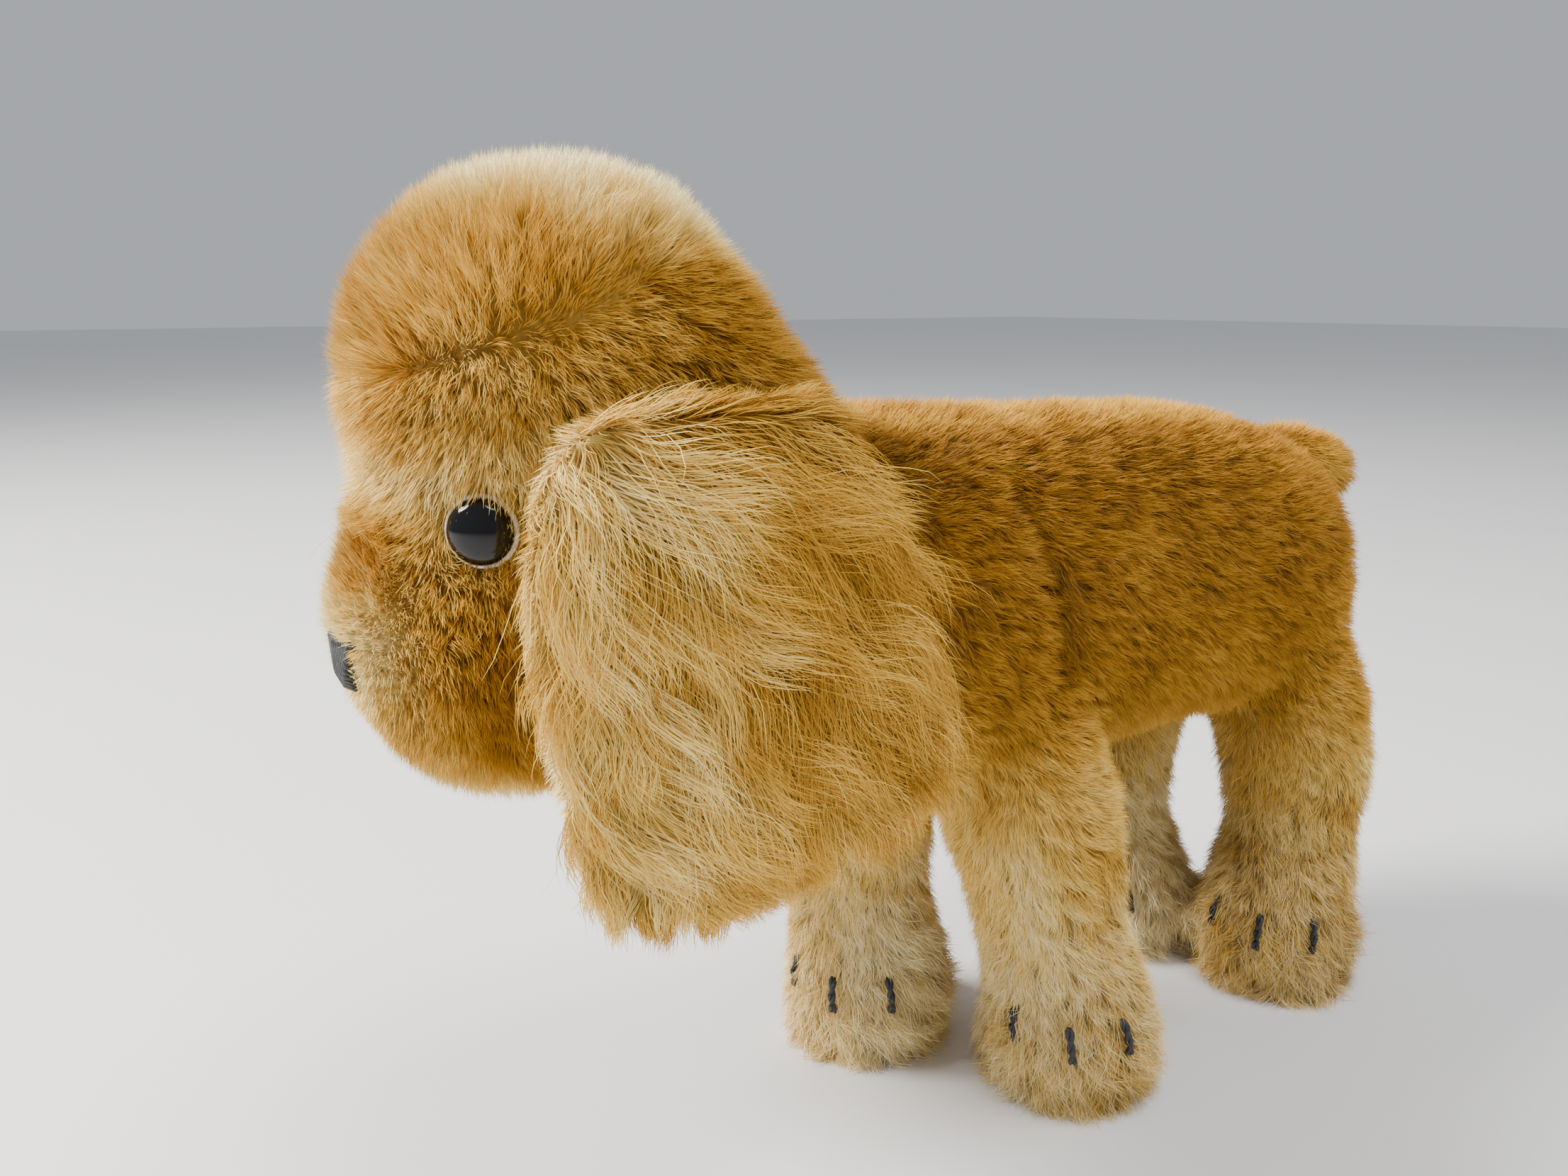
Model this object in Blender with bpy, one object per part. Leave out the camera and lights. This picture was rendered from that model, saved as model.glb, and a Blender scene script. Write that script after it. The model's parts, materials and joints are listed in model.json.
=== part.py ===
"""Plush spaniel puppy: a sewn mohair toy dog with a disc-jointed head and floppy ears.

The dog stands along the Y axis and faces -Y. Its left side is +X and up is +Z.
Lengths are in metres. The mohair panels are shells whose thickness takes in both
the woven backing and the pile, and the wood-wool stuffing fills them.
"""
import math

import bmesh
import bpy
from mathutils import Matrix, Vector

MM = 0.001
GAP = 0.3 * MM                  # clearance between pieces that touch
PANEL = 4.0 * MM                # mohair panel with its pile pressed half down
SEAM = 0.15 * MM                # half of the clearance along a seam

# Trunk: stations along Y as (y, top z, bottom z, half width), in millimetres.
TRUNK_STATIONS = (
    (-59.0, 104.0, 83.0, 10.0),
    (-56.5, 115.0, 72.5, 18.5),
    (-48.0, 126.0, 64.0, 24.5),
    (-32.0, 132.5, 60.0, 29.0),
    (-12.0, 132.0, 60.0, 29.5),
    (12.0, 130.8, 62.0, 27.5),
    (38.0, 130.0, 64.0, 27.0),
    (62.0, 127.0, 63.0, 29.0),
    (78.0, 121.0, 63.0, 28.0),
    (87.0, 112.0, 65.0, 22.5),
    (92.0, 103.0, 72.0, 13.0),
    (93.5, 96.0, 79.0, 6.0),
)
TRUNK_POWER = 2.3               # roundness of the trunk's cross-section
TRUNK_DETAIL = (15, 22)         # rings and sides of the outer form
TRUNK_CORE_DETAIL = (11, 14)    # the same for the hollow and the stuffing

# Legs: paw centre, mid-leg centre and top centre, as (x, y, z) in millimetres,
# and the compass angle that the toes face, from -Y towards +X, in degrees.
LEGS = {
    "front_left": ((16.5, 14.0, 12.0), (16.6, 3.5, 46.0), (14.5, -8.0, 88.0), 45.0),
    "front_right": ((-17.3, -10.0, 12.0), (-16.6, -15.0, 46.0), (-14.5, -19.0, 88.0), 30.0),
    "rear_left": ((17.3, 80.0, 12.0), (16.6, 84.0, 44.0), (13.5, 74.0, 88.0), 22.0),
    "rear_right": ((-14.0, 65.0, 12.0), (-16.6, 57.5, 44.0), (-13.5, 64.0, 88.0), 10.0),
}
# Radius of a leg against height, in millimetres: paw, ankle, thigh, hidden top.
LEG_RADII = ((0.0, 12.6), (2.5, 15.0), (8.0, 16.8), (15.0, 16.8), (23.0, 15.4), (34.0, 13.8),
             (50.0, 15.6), (66.0, 17.0), (80.0, 14.0), (90.0, 8.0))
PAW_LENGTH_RATIO = 1.06         # a paw is a little longer than it is wide
LEG_STUFFING_TOP = 58.0 * MM     # where a leg's packing meets the trunk's
LEG_REACH = (17.0 * MM, 19.0 * MM)  # half width and half length that take in a whole leg
LEG_SIDES = 16
LEG_CORE_SIDES = 12
SOLE_OPENING = 11.4 * MM        # radius of the hole in the mohair that the sole pad closes
SOLE_THICKNESS = 1.2 * MM

# Claws: three embroidered threads on each paw.
CLAW_SPREAD = 38.0              # degrees between claws
CLAW_RADIUS = 0.45 * MM
CLAW_FROM = 13.0 * MM
CLAW_TO = 20.5 * MM

# Seams of the trunk: the underbody panel spans the legs' middles, below this height.
UNDERBODY_HALF = 16.0 * MM
UNDERBODY_TOP = 72.0 * MM

# Tail: a short stuffed stub.
TAIL_ROOT = Vector((0.0, 82.0, 115.5)) * MM
TAIL_TIP = Vector((0.0, 113.5, 109.5)) * MM
TAIL_PANEL = 2.6 * MM           # thickness of the tail's mohair
TAIL_RADII = ((0.0, 8.0), (0.35, 7.6), (0.65, 7.2), (0.85, 6.2), (0.95, 4.6), (1.0, 2.2))

# Neck: the disc joint's centre and the upward tilt of its axis.
NECK_CENTRE = Vector((0.0, -49.0, 111.0)) * MM
NECK_TILT = math.radians(32.0)
NECK_GAP = 0.4 * MM             # half of the clearance between head and trunk
NECK_CLOTH = 1.6 * MM           # gathered cloth over the neck opening, without pile
DISC_RADIUS = 11.0 * MM
DISC_THICKNESS = 2.0 * MM
WASHER_RADIUS = 4.5 * MM
WASHER_THICKNESS = 0.8 * MM
PIN_HOLE = 1.5 * MM
PIN_WIRE = 0.45 * MM
PIN_LEG_SPREAD = 4.0 * MM
PIN_EYE_RADIUS = 1.7 * MM
PIN_ROOM = 5.5 * MM             # depth left in the stuffing for the pin's eye and bent legs

# Head: stations up Z as (z, back, front, half width) in millimetres, where back and
# front are measured forwards from the neck's centre.
HEAD_STATIONS = (
    (82.0, 33.0, 46.0, 6.0),
    (83.4, 28.0, 51.5, 12.0),
    (88.0, 14.0, 58.0, 18.5),
    (94.5, 2.0, 62.6, 22.0),
    (102.0, -7.0, 65.8, 24.0),
    (110.0, -13.0, 66.0, 24.6),
    (117.0, -16.0, 63.4, 25.2),
    (124.0, -14.5, 59.6, 26.2),
    (132.0, -10.5, 60.2, 27.2),
    (141.0, -3.5, 61.0, 27.4),
    (150.0, 4.5, 58.6, 25.5),
    (158.0, 10.5, 53.6, 21.5),
    (163.5, 16.5, 47.6, 16.0),
    (166.3, 24.0, 39.2, 8.5),
    (166.9, 28.0, 34.5, 4.0),
)
HEAD_POWER = 2.25
HEAD_DETAIL = (15, 24)
HEAD_CORE_DETAIL = (11, 16)
# Plan of the head gusset: (forward, half width) from the nose to the nape.
GUSSET_PLAN = ((76.0, 7.0), (60.0, 8.0), (46.0, 17.5), (20.0, 18.5), (-2.0, 15.0), (-30.0, 13.0))
GUSSET_BOTTOM = 107.0 * MM

# Eyes: glass domes on a backing disc, with a wire shank into the stuffing.
EYE_FORWARD = 51.0 * MM
EYE_HEIGHT = 122.0 * MM
EYE_RADIUS = 4.2 * MM
EYE_DOME = 2.7 * MM
EYE_DISC_RADIUS = 4.9 * MM
EYE_DISC_THICKNESS = 0.6 * MM
EYE_SEAT_DEPTH = 1.6 * MM
SHANK_WIRE = 0.4 * MM
SHANK_LENGTH = 7.0 * MM
SHANK_LOOP = 0.75 * MM          # radius of the wire loop
SHANK_HOLE = 1.7 * MM           # radius of the hole that the loop passes through
DISC_HOLE = 1.6 * MM

# Nose: an embroidered patch, outline as (sideways, height) in millimetres.
NOSE_OUTLINE = ((-5.0, 106.0), (-2.5, 107.2), (2.5, 107.2), (5.0, 106.0), (4.6, 102.4), (1.9, 98.6),
                (-1.9, 98.6), (-4.6, 102.4))
NOSE_PROUD = 0.4 * MM
NOSE_SUNK = 0.7 * MM

# Ears: stations down Z as (z, back, front, inner face) in millimetres, in the head's frame.
EAR_STATIONS = (
    (137.0, 14.0, 40.0, 28.2),
    (134.5, 8.0, 46.0, 28.5),
    (128.0, 2.0, 50.0, 29.0),
    (118.0, -2.0, 51.5, 29.4),
    (106.0, -4.5, 50.5, 29.8),
    (94.0, -4.5, 49.0, 30.0),
    (83.0, 0.0, 47.0, 30.0),
    (75.0, 9.0, 44.0, 29.8),
    (71.5, 17.0, 38.0, 29.6),
)
EAR_LINING = 1.6 * MM
EAR_OUTER = 5.8 * MM
EAR_HINGE_HEIGHT = 136.0 * MM
EAR_HINGE_OUT = 30.0 * MM
EAR_HINGE_FORWARD = 27.0 * MM
EAR_POWER = 3.2                 # squareness of an ear's cross-section
EAR_CURL = 2.2 * MM             # how far an ear's edges bend in towards the head
EAR_CURL_TOP = 134.0            # above this height, in millimetres, an ear lies flat
EAR_RINGS = 10
EAR_SIDES = 16


# ---------------------------------------------------------------- helpers

def clear_scene():
    for ob in list(bpy.data.objects):
        bpy.data.objects.remove(ob, do_unlink=True)


def make_collection(name):
    collection = bpy.data.collections.new(name)
    bpy.context.scene.collection.children.link(collection)
    return collection


def make_material(name, colour, roughness, metallic=0.0):
    material = bpy.data.materials.new(name)
    material.use_nodes = True
    shader = material.node_tree.nodes["Principled BSDF"]
    shader.inputs["Base Color"].default_value = (*colour, 1.0)
    shader.inputs["Roughness"].default_value = roughness
    shader.inputs["Metallic"].default_value = metallic
    material.diffuse_color = (*colour, 1.0)
    return material


def smooth_stations(stations, count):
    """Read count rows from a smooth curve through the stations' rows."""
    rows = []
    last = len(stations) - 1
    for i in range(count):
        place = i / (count - 1) * last
        k = min(int(place), last - 1)
        t = place - k
        before, here = stations[max(k - 1, 0)], stations[k]
        there, after = stations[k + 1], stations[min(k + 2, last)]
        row = []
        for a, b, c, d in zip(before, here, there, after):
            row.append(0.5 * (2 * b + (c - a) * t + (2 * a - 5 * b + 4 * c - d) * t * t
                              + (3 * b - a - 3 * c + d) * t ** 3))
        rows.append(row)
    return rows


def superellipse(a, b, power, count):
    """Points of a rounded outline with half sizes a and b, counter-clockwise."""
    points = []
    for i in range(count):
        angle = 2 * math.pi * i / count
        c, s = math.cos(angle), math.sin(angle)
        points.append((a * math.copysign(abs(c) ** (2 / power), c),
                       b * math.copysign(abs(s) ** (2 / power), s)))
    return points


def loft(name, rings, collection):
    """A closed solid through rings of equal length, capped at both ends."""
    bm = bmesh.new()
    loops = [[bm.verts.new(point) for point in ring] for ring in rings]
    for lower, upper in zip(loops, loops[1:]):
        for i in range(len(lower)):
            j = (i + 1) % len(lower)
            bm.faces.new((lower[i], lower[j], upper[j], upper[i]))
    bm.faces.new(list(reversed(loops[0])))
    bm.faces.new(loops[-1])
    bmesh.ops.recalc_face_normals(bm, faces=bm.faces)
    return finish_mesh(name, bm, collection)


def finish_mesh(name, bm, collection):
    mesh = bpy.data.meshes.new(name)
    bm.to_mesh(mesh)
    bm.free()
    ob = bpy.data.objects.new(name, mesh)
    collection.objects.link(ob)
    if collection is CUTTERS:
        ob.hide_render = True
        ob.display_type = "WIRE"
    return ob


def prism(name, outline, z0, z1, frame=Matrix.Identity(4)):
    """A cutter: a flat outline in its frame's XY plane, run from z0 to z1."""
    bm = bmesh.new()
    lower = [bm.verts.new((x, y, z0)) for x, y in outline]
    upper = [bm.verts.new((x, y, z1)) for x, y in outline]
    bm.faces.new(list(reversed(lower)))
    bm.faces.new(upper)
    for i in range(len(lower)):
        j = (i + 1) % len(lower)
        bm.faces.new((lower[i], lower[j], upper[j], upper[i]))
    bmesh.ops.recalc_face_normals(bm, faces=bm.faces)
    bm.transform(frame)
    return finish_mesh(name, bm, CUTTERS)


def box(name, low, high):
    """A box cutter between two corners."""
    bm = bmesh.new()
    bmesh.ops.create_cube(bm, size=1.0)
    low, high = Vector(low), Vector(high)
    for v in bm.verts:
        v.co = Vector(low[k] + (v.co[k] + 0.5) * (high[k] - low[k]) for k in range(3))
    return finish_mesh(name, bm, CUTTERS)


def cylinder(name, radius, z0, z1, frame, collection, sides=24):
    """A cylinder from z0 to z1 along its frame's Z axis."""
    bm = bmesh.new()
    bmesh.ops.create_cone(bm, cap_ends=True, segments=sides, radius1=radius, radius2=radius,
                          depth=z1 - z0)
    bm.transform(frame @ Matrix.Translation((0, 0, (z0 + z1) / 2)))
    return finish_mesh(name, bm, collection)


def bake(ob):
    """Apply an object's modifiers to its mesh."""
    graph = bpy.context.evaluated_depsgraph_get()
    mesh = bpy.data.meshes.new_from_object(ob.evaluated_get(graph))
    ob.modifiers.clear()
    ob.data = mesh


def combine(ob, tool, operation, solver="EXACT"):
    modifier = ob.modifiers.new(operation.title(), "BOOLEAN")
    modifier.object = tool
    modifier.operation = operation
    modifier.solver = solver
    bake(ob)


def copy_of(ob, name, collection):
    twin = bpy.data.objects.new(name, ob.data.copy())
    collection.objects.link(twin)
    if collection is CUTTERS:
        twin.hide_render = True
        twin.display_type = "WIRE"
    return twin


def tube(name, points, radius, collection, resolution=1):
    """A closed round wire along the points, as a mesh."""
    curve = bpy.data.curves.new(name, "CURVE")
    curve.dimensions = "3D"
    spline = curve.splines.new("POLY")
    spline.points.add(len(points) - 1)
    for slot, point in zip(spline.points, points):
        slot.co = (*point, 1.0)
    curve.bevel_depth = radius
    curve.bevel_resolution = resolution
    curve.use_fill_caps = True
    wire = bpy.data.objects.new(name + "_path", curve)
    collection.objects.link(wire)
    graph = bpy.context.evaluated_depsgraph_get()
    mesh = bpy.data.meshes.new_from_object(wire.evaluated_get(graph))
    bm = bmesh.new()
    bm.from_mesh(mesh)
    bmesh.ops.remove_doubles(bm, verts=bm.verts, dist=0.001 * MM)
    bmesh.ops.recalc_face_normals(bm, faces=bm.faces)
    bpy.data.objects.remove(wire, do_unlink=True)
    bpy.data.curves.remove(curve)
    bpy.data.meshes.remove(mesh)
    return finish_mesh(name, bm, collection)


# ---------------------------------------------------------------- frames

def neck_frame():
    """Z runs along the neck's axis, forwards and up; X stays sideways."""
    axis = Vector((0.0, -math.cos(NECK_TILT), math.sin(NECK_TILT)))
    side = Vector((1.0, 0.0, 0.0))
    frame = Matrix((side, axis.cross(side), axis)).transposed().to_4x4()
    frame.translation = NECK_CENTRE
    return frame


def head_frame():
    """Origin under the neck's centre on the floor, X to the dog's left, -Y forwards."""
    return Matrix.Translation((NECK_CENTRE.x, NECK_CENTRE.y, 0.0))


# ---------------------------------------------------------------- body solids

def trunk_solid(name, inset=0.0):
    """The trunk's outer form, made smaller all round by the inset."""
    y0, y1 = TRUNK_STATIONS[0][0] * MM, TRUNK_STATIONS[-1][0] * MM
    middle = (y0 + y1) / 2
    shrink = 1 - 2 * inset / (y1 - y0)
    count, sides = TRUNK_CORE_DETAIL if inset > 0 else TRUNK_DETAIL
    rings = []
    for y, top, bottom, half in smooth_stations(TRUNK_STATIONS, count):
        centre = (top + bottom) / 2 * MM
        a = max(half * MM - inset, 2 * MM)
        b = max((top - bottom) / 2 * MM - inset, 3 * MM)
        place = middle + (y * MM - middle) * shrink
        ring = [(x, place, centre + z) for x, z in superellipse(a, b, TRUNK_POWER, sides)]
        rings.append(ring)
    return loft(name, rings, CUTTERS)


def leg_centre(leg, z):
    """The leg's centre line at a height, a smooth bend through its three centres."""
    paw, middle, top = (Vector(point) * MM for point in LEGS[leg][:3])
    if z <= middle.z:
        t = max(0.0, (z - paw.z) / (middle.z - paw.z))
        t = t * t * (3 - 2 * t)
        here = paw.lerp(middle, t)
    else:
        t = min(1.0, (z - middle.z) / (top.z - middle.z))
        here = middle.lerp(top, t)
    return here.x, here.y


def leg_radius(z):
    """The leg's outer radius at a height, read between its rows."""
    for (z0, r0), (z1, r1) in zip(LEG_RADII, LEG_RADII[1:]):
        if z <= z1 * MM:
            t = (z / MM - z0) / (z1 - z0)
            return (r0 + (r1 - r0) * max(t, 0.0)) * MM
    return LEG_RADII[-1][1] * MM


def leg_solid(name, leg, inset=0.0, bottom=0.0):
    """One leg with its paw; an inset leg runs through its own sole."""
    sides = LEG_CORE_SIDES if inset > 0 else LEG_SIDES
    rings = []
    heights = [z * MM for z, _ in LEG_RADII]
    heights[0] = bottom
    for z in heights:
        radius = leg_radius(max(z, 0.0)) - inset
        if inset and z <= 2.5 * MM:
            radius = SOLE_OPENING - (inset - PANEL)
        x0, y0 = leg_centre(leg, z)
        ring = [(x0 + x, y0 + y, z - (inset if z == heights[-1] else 0.0))
                for x, y in superellipse(radius, radius * PAW_LENGTH_RATIO, 2.0, sides)]
        rings.append(ring)
    return loft(name, rings, CUTTERS)


def half_space(name, frame, z0, z1, half=140 * MM):
    outline = ((-half, -half), (half, -half), (half, half), (-half, half))
    return prism(name, outline, z0, z1, frame)


def body_solid(name, inset, neck_offset, bottom):
    """The trunk and its four legs as one solid, cut off at the neck's plane."""
    body = trunk_solid(name, inset)
    for leg in LEGS:
        combine(body, leg_solid(f"{name}_{leg}", leg, inset, bottom), "UNION")
    combine(body, half_space(f"{name}_neck_cut", neck_frame(), neck_offset, 200 * MM), "DIFFERENCE")
    return body


def head_solid(name, inset, neck_offset=None):
    """The head's outer form, made smaller by the inset and cut off at the neck's plane."""
    z0, z1 = HEAD_STATIONS[0][0] * MM, HEAD_STATIONS[-1][0] * MM
    middle = (z0 + z1) / 2
    shrink = 1 - 2 * inset / (z1 - z0)
    count, sides = HEAD_CORE_DETAIL if inset > PANEL / 2 else HEAD_DETAIL
    frame = head_frame()
    rings = []
    for z, back, front, half in smooth_stations(HEAD_STATIONS, count):
        centre = -(back + front) / 2 * MM
        a = max(half * MM - inset, 2 * MM)
        b = max((front - back) / 2 * MM - inset, 2 * MM)
        place = middle + (z * MM - middle) * shrink
        ring = [frame @ Vector((x, centre + y, place))
                for x, y in superellipse(a, b, HEAD_POWER, sides)]
        rings.append(ring)
    head = loft(name, rings, CUTTERS)
    if neck_offset is not None:
        cut = half_space(f"{name}_neck_cut", neck_frame(), -200 * MM, neck_offset)
        combine(head, cut, "DIFFERENCE")
    return head


# ---------------------------------------------------------------- parts

def add_part(ob, name, material, parent):
    """Name a finished solid, give it its material and hang it under its joint's empty."""
    ob.name = name
    ob.data.name = name
    ob.data.materials.clear()
    ob.data.materials.append(material)
    for polygon in ob.data.polygons:
        polygon.material_index = 0
    ob.data.shade_smooth()
    ob.data.set_sharp_from_angle(angle=math.radians(40.0))
    origin = Vector(parent.get("design_place", (0.0, 0.0, 0.0)))
    ob.data.transform(Matrix.Translation(-origin))
    ob.parent = parent
    ob.hide_render = False
    ob.display_type = "TEXTURED"
    for collection in list(ob.users_collection):
        collection.objects.unlink(ob)
    PARTS.objects.link(ob)
    return ob


def add_empty(name, place, parent=None):
    """An empty at a place in the design frame."""
    empty = bpy.data.objects.new(name, None)
    PARTS.objects.link(empty)
    place = Vector(place)
    empty["design_place"] = list(place)
    base = Vector(parent["design_place"]) if parent else Vector((0.0, 0.0, 0.0))
    empty.location = place - base
    empty.parent = parent
    return empty


def build_trunk(root, mohair, cream, wool):
    """Three mohair panels, the trunk's stuffing and the stuffing of each leg."""
    skin = body_solid("body_outer", 0.0, -NECK_GAP, 0.0)
    hollow = body_solid("body_hollow", PANEL, -NECK_GAP - NECK_CLOTH, -1.0 * MM)
    combine(skin, hollow, "DIFFERENCE")
    combine(skin, cylinder("body_pin_hole", PIN_HOLE, -10 * MM, 10 * MM, neck_frame(), CUTTERS),
            "DIFFERENCE")
    reach = 200 * MM
    inner = UNDERBODY_HALF - SEAM
    under = copy_of(skin, "underbody_panel", CUTTERS)
    combine(under, box("underbody_zone", (-inner, -reach, -reach),
                       (inner, reach, UNDERBODY_TOP - SEAM)), "INTERSECT", "MANIFOLD")
    keep_largest(under)
    add_part(under, "underbody", cream, root)
    for side, sign in (("left", 1), ("right", -1)):
        half = sorted((sign * SEAM, sign * reach))
        flank = copy_of(skin, f"body_side_{side}", CUTTERS)
        combine(flank, box(f"body_side_{side}_zone", (half[0], -reach, -reach),
                           (half[1], reach, reach)), "INTERSECT", "MANIFOLD")
        taken = sorted((-sign * 5 * MM, sign * (UNDERBODY_HALF + SEAM)))
        combine(flank, box(f"body_side_{side}_cut", (taken[0], -reach, -reach),
                           (taken[1], reach, UNDERBODY_TOP + SEAM)), "DIFFERENCE", "MANIFOLD")
        keep_largest(flank)
        add_part(flank, f"body_side_{side}", mohair, root)
    filling = body_solid("body_filling", PANEL + GAP, -NECK_GAP - NECK_CLOTH - GAP,
                         SOLE_THICKNESS + GAP)
    cut_neck_room(filling, "body", -1)
    wide, long = LEG_REACH
    for leg in LEGS:
        top_x, top_y = leg_centre(leg, LEG_STUFFING_TOP)
        paw_x, paw_y = leg_centre(leg, 0.0)
        low = (min(top_x, paw_x) - wide, min(top_y, paw_y) - long, -reach)
        high = (max(top_x, paw_x) + wide, max(top_y, paw_y) + long, LEG_STUFFING_TOP - SEAM)
        piece = copy_of(filling, f"leg_stuffing_{leg}", CUTTERS)
        combine(piece, box(f"leg_stuffing_{leg}_zone", low, high), "INTERSECT")
        keep_largest(piece)
        add_part(piece, f"leg_stuffing_{leg}", wool, root)
    combine(filling, box("trunk_filling_cut", (-reach, -reach, -reach),
                         (reach, reach, LEG_STUFFING_TOP + SEAM)), "DIFFERENCE")
    add_part(filling, "trunk_stuffing", wool, root)


def keep_largest(ob):
    """Drop every loose body of a mesh but its largest."""
    bm = bmesh.new()
    bm.from_mesh(ob.data)
    left = set(bm.verts)
    bodies = []
    while left:
        stack = [left.pop()]
        body = set(stack)
        while stack:
            for edge in stack.pop().link_edges:
                for v in edge.verts:
                    if v in left:
                        left.discard(v)
                        body.add(v)
                        stack.append(v)
        bodies.append(body)
    bodies.sort(key=len)
    for body in bodies[:-1]:
        bmesh.ops.delete(bm, geom=list(body), context="VERTS")
    bm.to_mesh(ob.data)
    bm.free()


def build_soles(root, felt):
    for leg in LEGS:
        x, y = leg_centre(leg, 0.0)
        radius = SOLE_OPENING * math.cos(math.pi / LEG_CORE_SIDES) - GAP
        frame = Matrix.Translation((x, y, 0.0))
        pad = cylinder(f"sole_{leg}", radius, 0.0, SOLE_THICKNESS, frame, CUTTERS, 24)
        add_part(pad, f"sole_pad_{leg}", felt, root)


def build_claws(root, thread):
    """Three dark threads lie over the toes of each paw."""
    for leg, (_, _, _, facing) in LEGS.items():
        for number, step in enumerate((-1, 0, 1), start=1):
            angle = math.radians(facing + step * CLAW_SPREAD)
            points = []
            for i in range(6):
                z = CLAW_FROM + (CLAW_TO - CLAW_FROM) * i / 5
                x0, y0 = leg_centre(leg, z)
                out = leg_radius(z) * PAW_LENGTH_RATIO + GAP + CLAW_RADIUS
                points.append((x0 + math.sin(angle) * out, y0 - math.cos(angle) * out, z))
            claw = tube(f"claw_{leg}_{number}", points, CLAW_RADIUS, CUTTERS)
            add_part(claw, f"claw_{leg}_{number}", thread, root)


def tail_rings(inset):
    axis = TAIL_TIP - TAIL_ROOT
    frame = axis.to_track_quat("Z", "X").to_matrix()
    rings = []
    for t, radius in TAIL_RADII:
        r = max(radius * MM - inset, 1.0 * MM)
        place = TAIL_ROOT + axis * t - axis.normalized() * (inset * t)
        rings.append([place + frame @ Vector((x, y, 0.0)) for x, y in superellipse(r, r, 2.0, 16)])
    return rings


def build_tail(root, mohair, wool):
    skin = loft("tail_outer", tail_rings(0.0), CUTTERS)
    combine(skin, loft("tail_hollow", tail_rings(TAIL_PANEL), CUTTERS), "DIFFERENCE")
    rump = trunk_solid("tail_rump_cut", -GAP)
    combine(skin, rump, "DIFFERENCE", "MANIFOLD")
    keep_largest(skin)
    add_part(skin, "tail_mohair", mohair, root)
    core = loft("tail_core", tail_rings(TAIL_PANEL + GAP), CUTTERS)
    combine(core, rump, "DIFFERENCE", "MANIFOLD")
    add_part(core, "tail_stuffing", wool, root)


def cut_neck_room(ob, name, sign):
    """Make room in the stuffing for the neck's disc, washer and cotter pin."""
    frame = neck_frame()
    inside = NECK_GAP + NECK_CLOTH
    disc_end = inside + 2 * GAP + DISC_THICKNESS + GAP
    washer_end = disc_end + WASHER_THICKNESS + GAP
    for part, radius, end in (("disc", DISC_RADIUS + GAP, disc_end),
                              ("washer", WASHER_RADIUS + GAP, washer_end),
                              ("pin", PIN_LEG_SPREAD + 1.0 * MM, washer_end + PIN_ROOM)):
        z0, z1 = sorted((sign * 0.5 * MM, sign * end))
        combine(ob, cylinder(f"{name}_{part}_room", radius, z0, z1, frame, CUTTERS), "DIFFERENCE")


def build_neck(root, head, board, steel):
    """The disc joint: a disc and a washer on each side of the neck, held by a cotter pin."""
    frame = neck_frame()
    start = NECK_GAP + NECK_CLOTH + 1.5 * GAP
    middle = start + DISC_THICKNESS + GAP
    for name, sign, parent in (("head", 1, head), ("trunk", -1, root)):
        hole = cylinder(f"{name}_disc_hole", PIN_HOLE, -15 * MM, 15 * MM, frame, CUTTERS)
        z0, z1 = sorted((sign * start, sign * (start + DISC_THICKNESS)))
        disc = cylinder(f"{name}_neck_disc", DISC_RADIUS, z0, z1, frame, CUTTERS, 32)
        combine(disc, hole, "DIFFERENCE")
        add_part(disc, f"{name}_neck_disc", board, parent)
        z0, z1 = sorted((sign * middle, sign * (middle + WASHER_THICKNESS)))
        washer = cylinder(f"{name}_neck_washer", WASHER_RADIUS, z0, z1, frame, CUTTERS)
        combine(washer, hole, "DIFFERENCE")
        add_part(washer, f"{name}_neck_washer", steel, parent)
    end = middle + WASHER_THICKNESS + GAP + PIN_WIRE
    leg = PIN_WIRE + 0.1 * MM
    points = [(PIN_LEG_SPREAD, 0.0, -end - 0.5 * MM), (1.6 * MM, 0.0, -end - 0.2 * MM)]
    points += [(leg, 0.0, -end + 0.6 * MM), (leg, 0.0, 0.0), (leg, 0.0, end)]
    for i in range(1, 10):
        angle = math.pi * (-0.32 + 1.64 * i / 10)
        points.append((PIN_EYE_RADIUS * math.cos(angle), 0.0,
                       end + 1.9 * MM + PIN_EYE_RADIUS * math.sin(angle)))
    points += [(-leg, 0.0, end), (-leg, 0.0, 0.0), (-leg, 0.0, -end + 0.6 * MM)]
    points += [(-1.6 * MM, 0.0, -end - 0.2 * MM), (-PIN_LEG_SPREAD, 0.0, -end - 0.5 * MM)]
    pin = tube("cotter_pin", [frame @ Vector(point) for point in points], PIN_WIRE, CUTTERS)
    add_part(pin, "neck_cotter_pin", steel, root)


def eye_frame(side):
    """A frame on the head's surface at an eye, with Z pointing out of the head."""
    sign = 1 if side == "left" else -1
    rows = smooth_stations(HEAD_STATIONS, 200)
    row = min(rows, key=lambda r: abs(r[0] * MM - EYE_HEIGHT))
    centre = (row[1] + row[2]) / 2 * MM
    a, b = row[3] * MM, (row[2] - row[1]) / 2 * MM
    ahead = EYE_FORWARD - centre
    out = a * (1 - (abs(ahead) / b) ** HEAD_POWER) ** (1 / HEAD_POWER)
    slope = (abs(ahead) / b) ** (HEAD_POWER - 1) / b
    across = (out / a) ** (HEAD_POWER - 1) / a
    outward = Vector((sign * across, -slope, 0.05 * across)).normalized()
    place = Vector((sign * out, -EYE_FORWARD, EYE_HEIGHT))
    local = Matrix.Translation(place) @ outward.to_track_quat("Z", "Y").to_matrix().to_4x4()
    return head_frame() @ local


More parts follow.
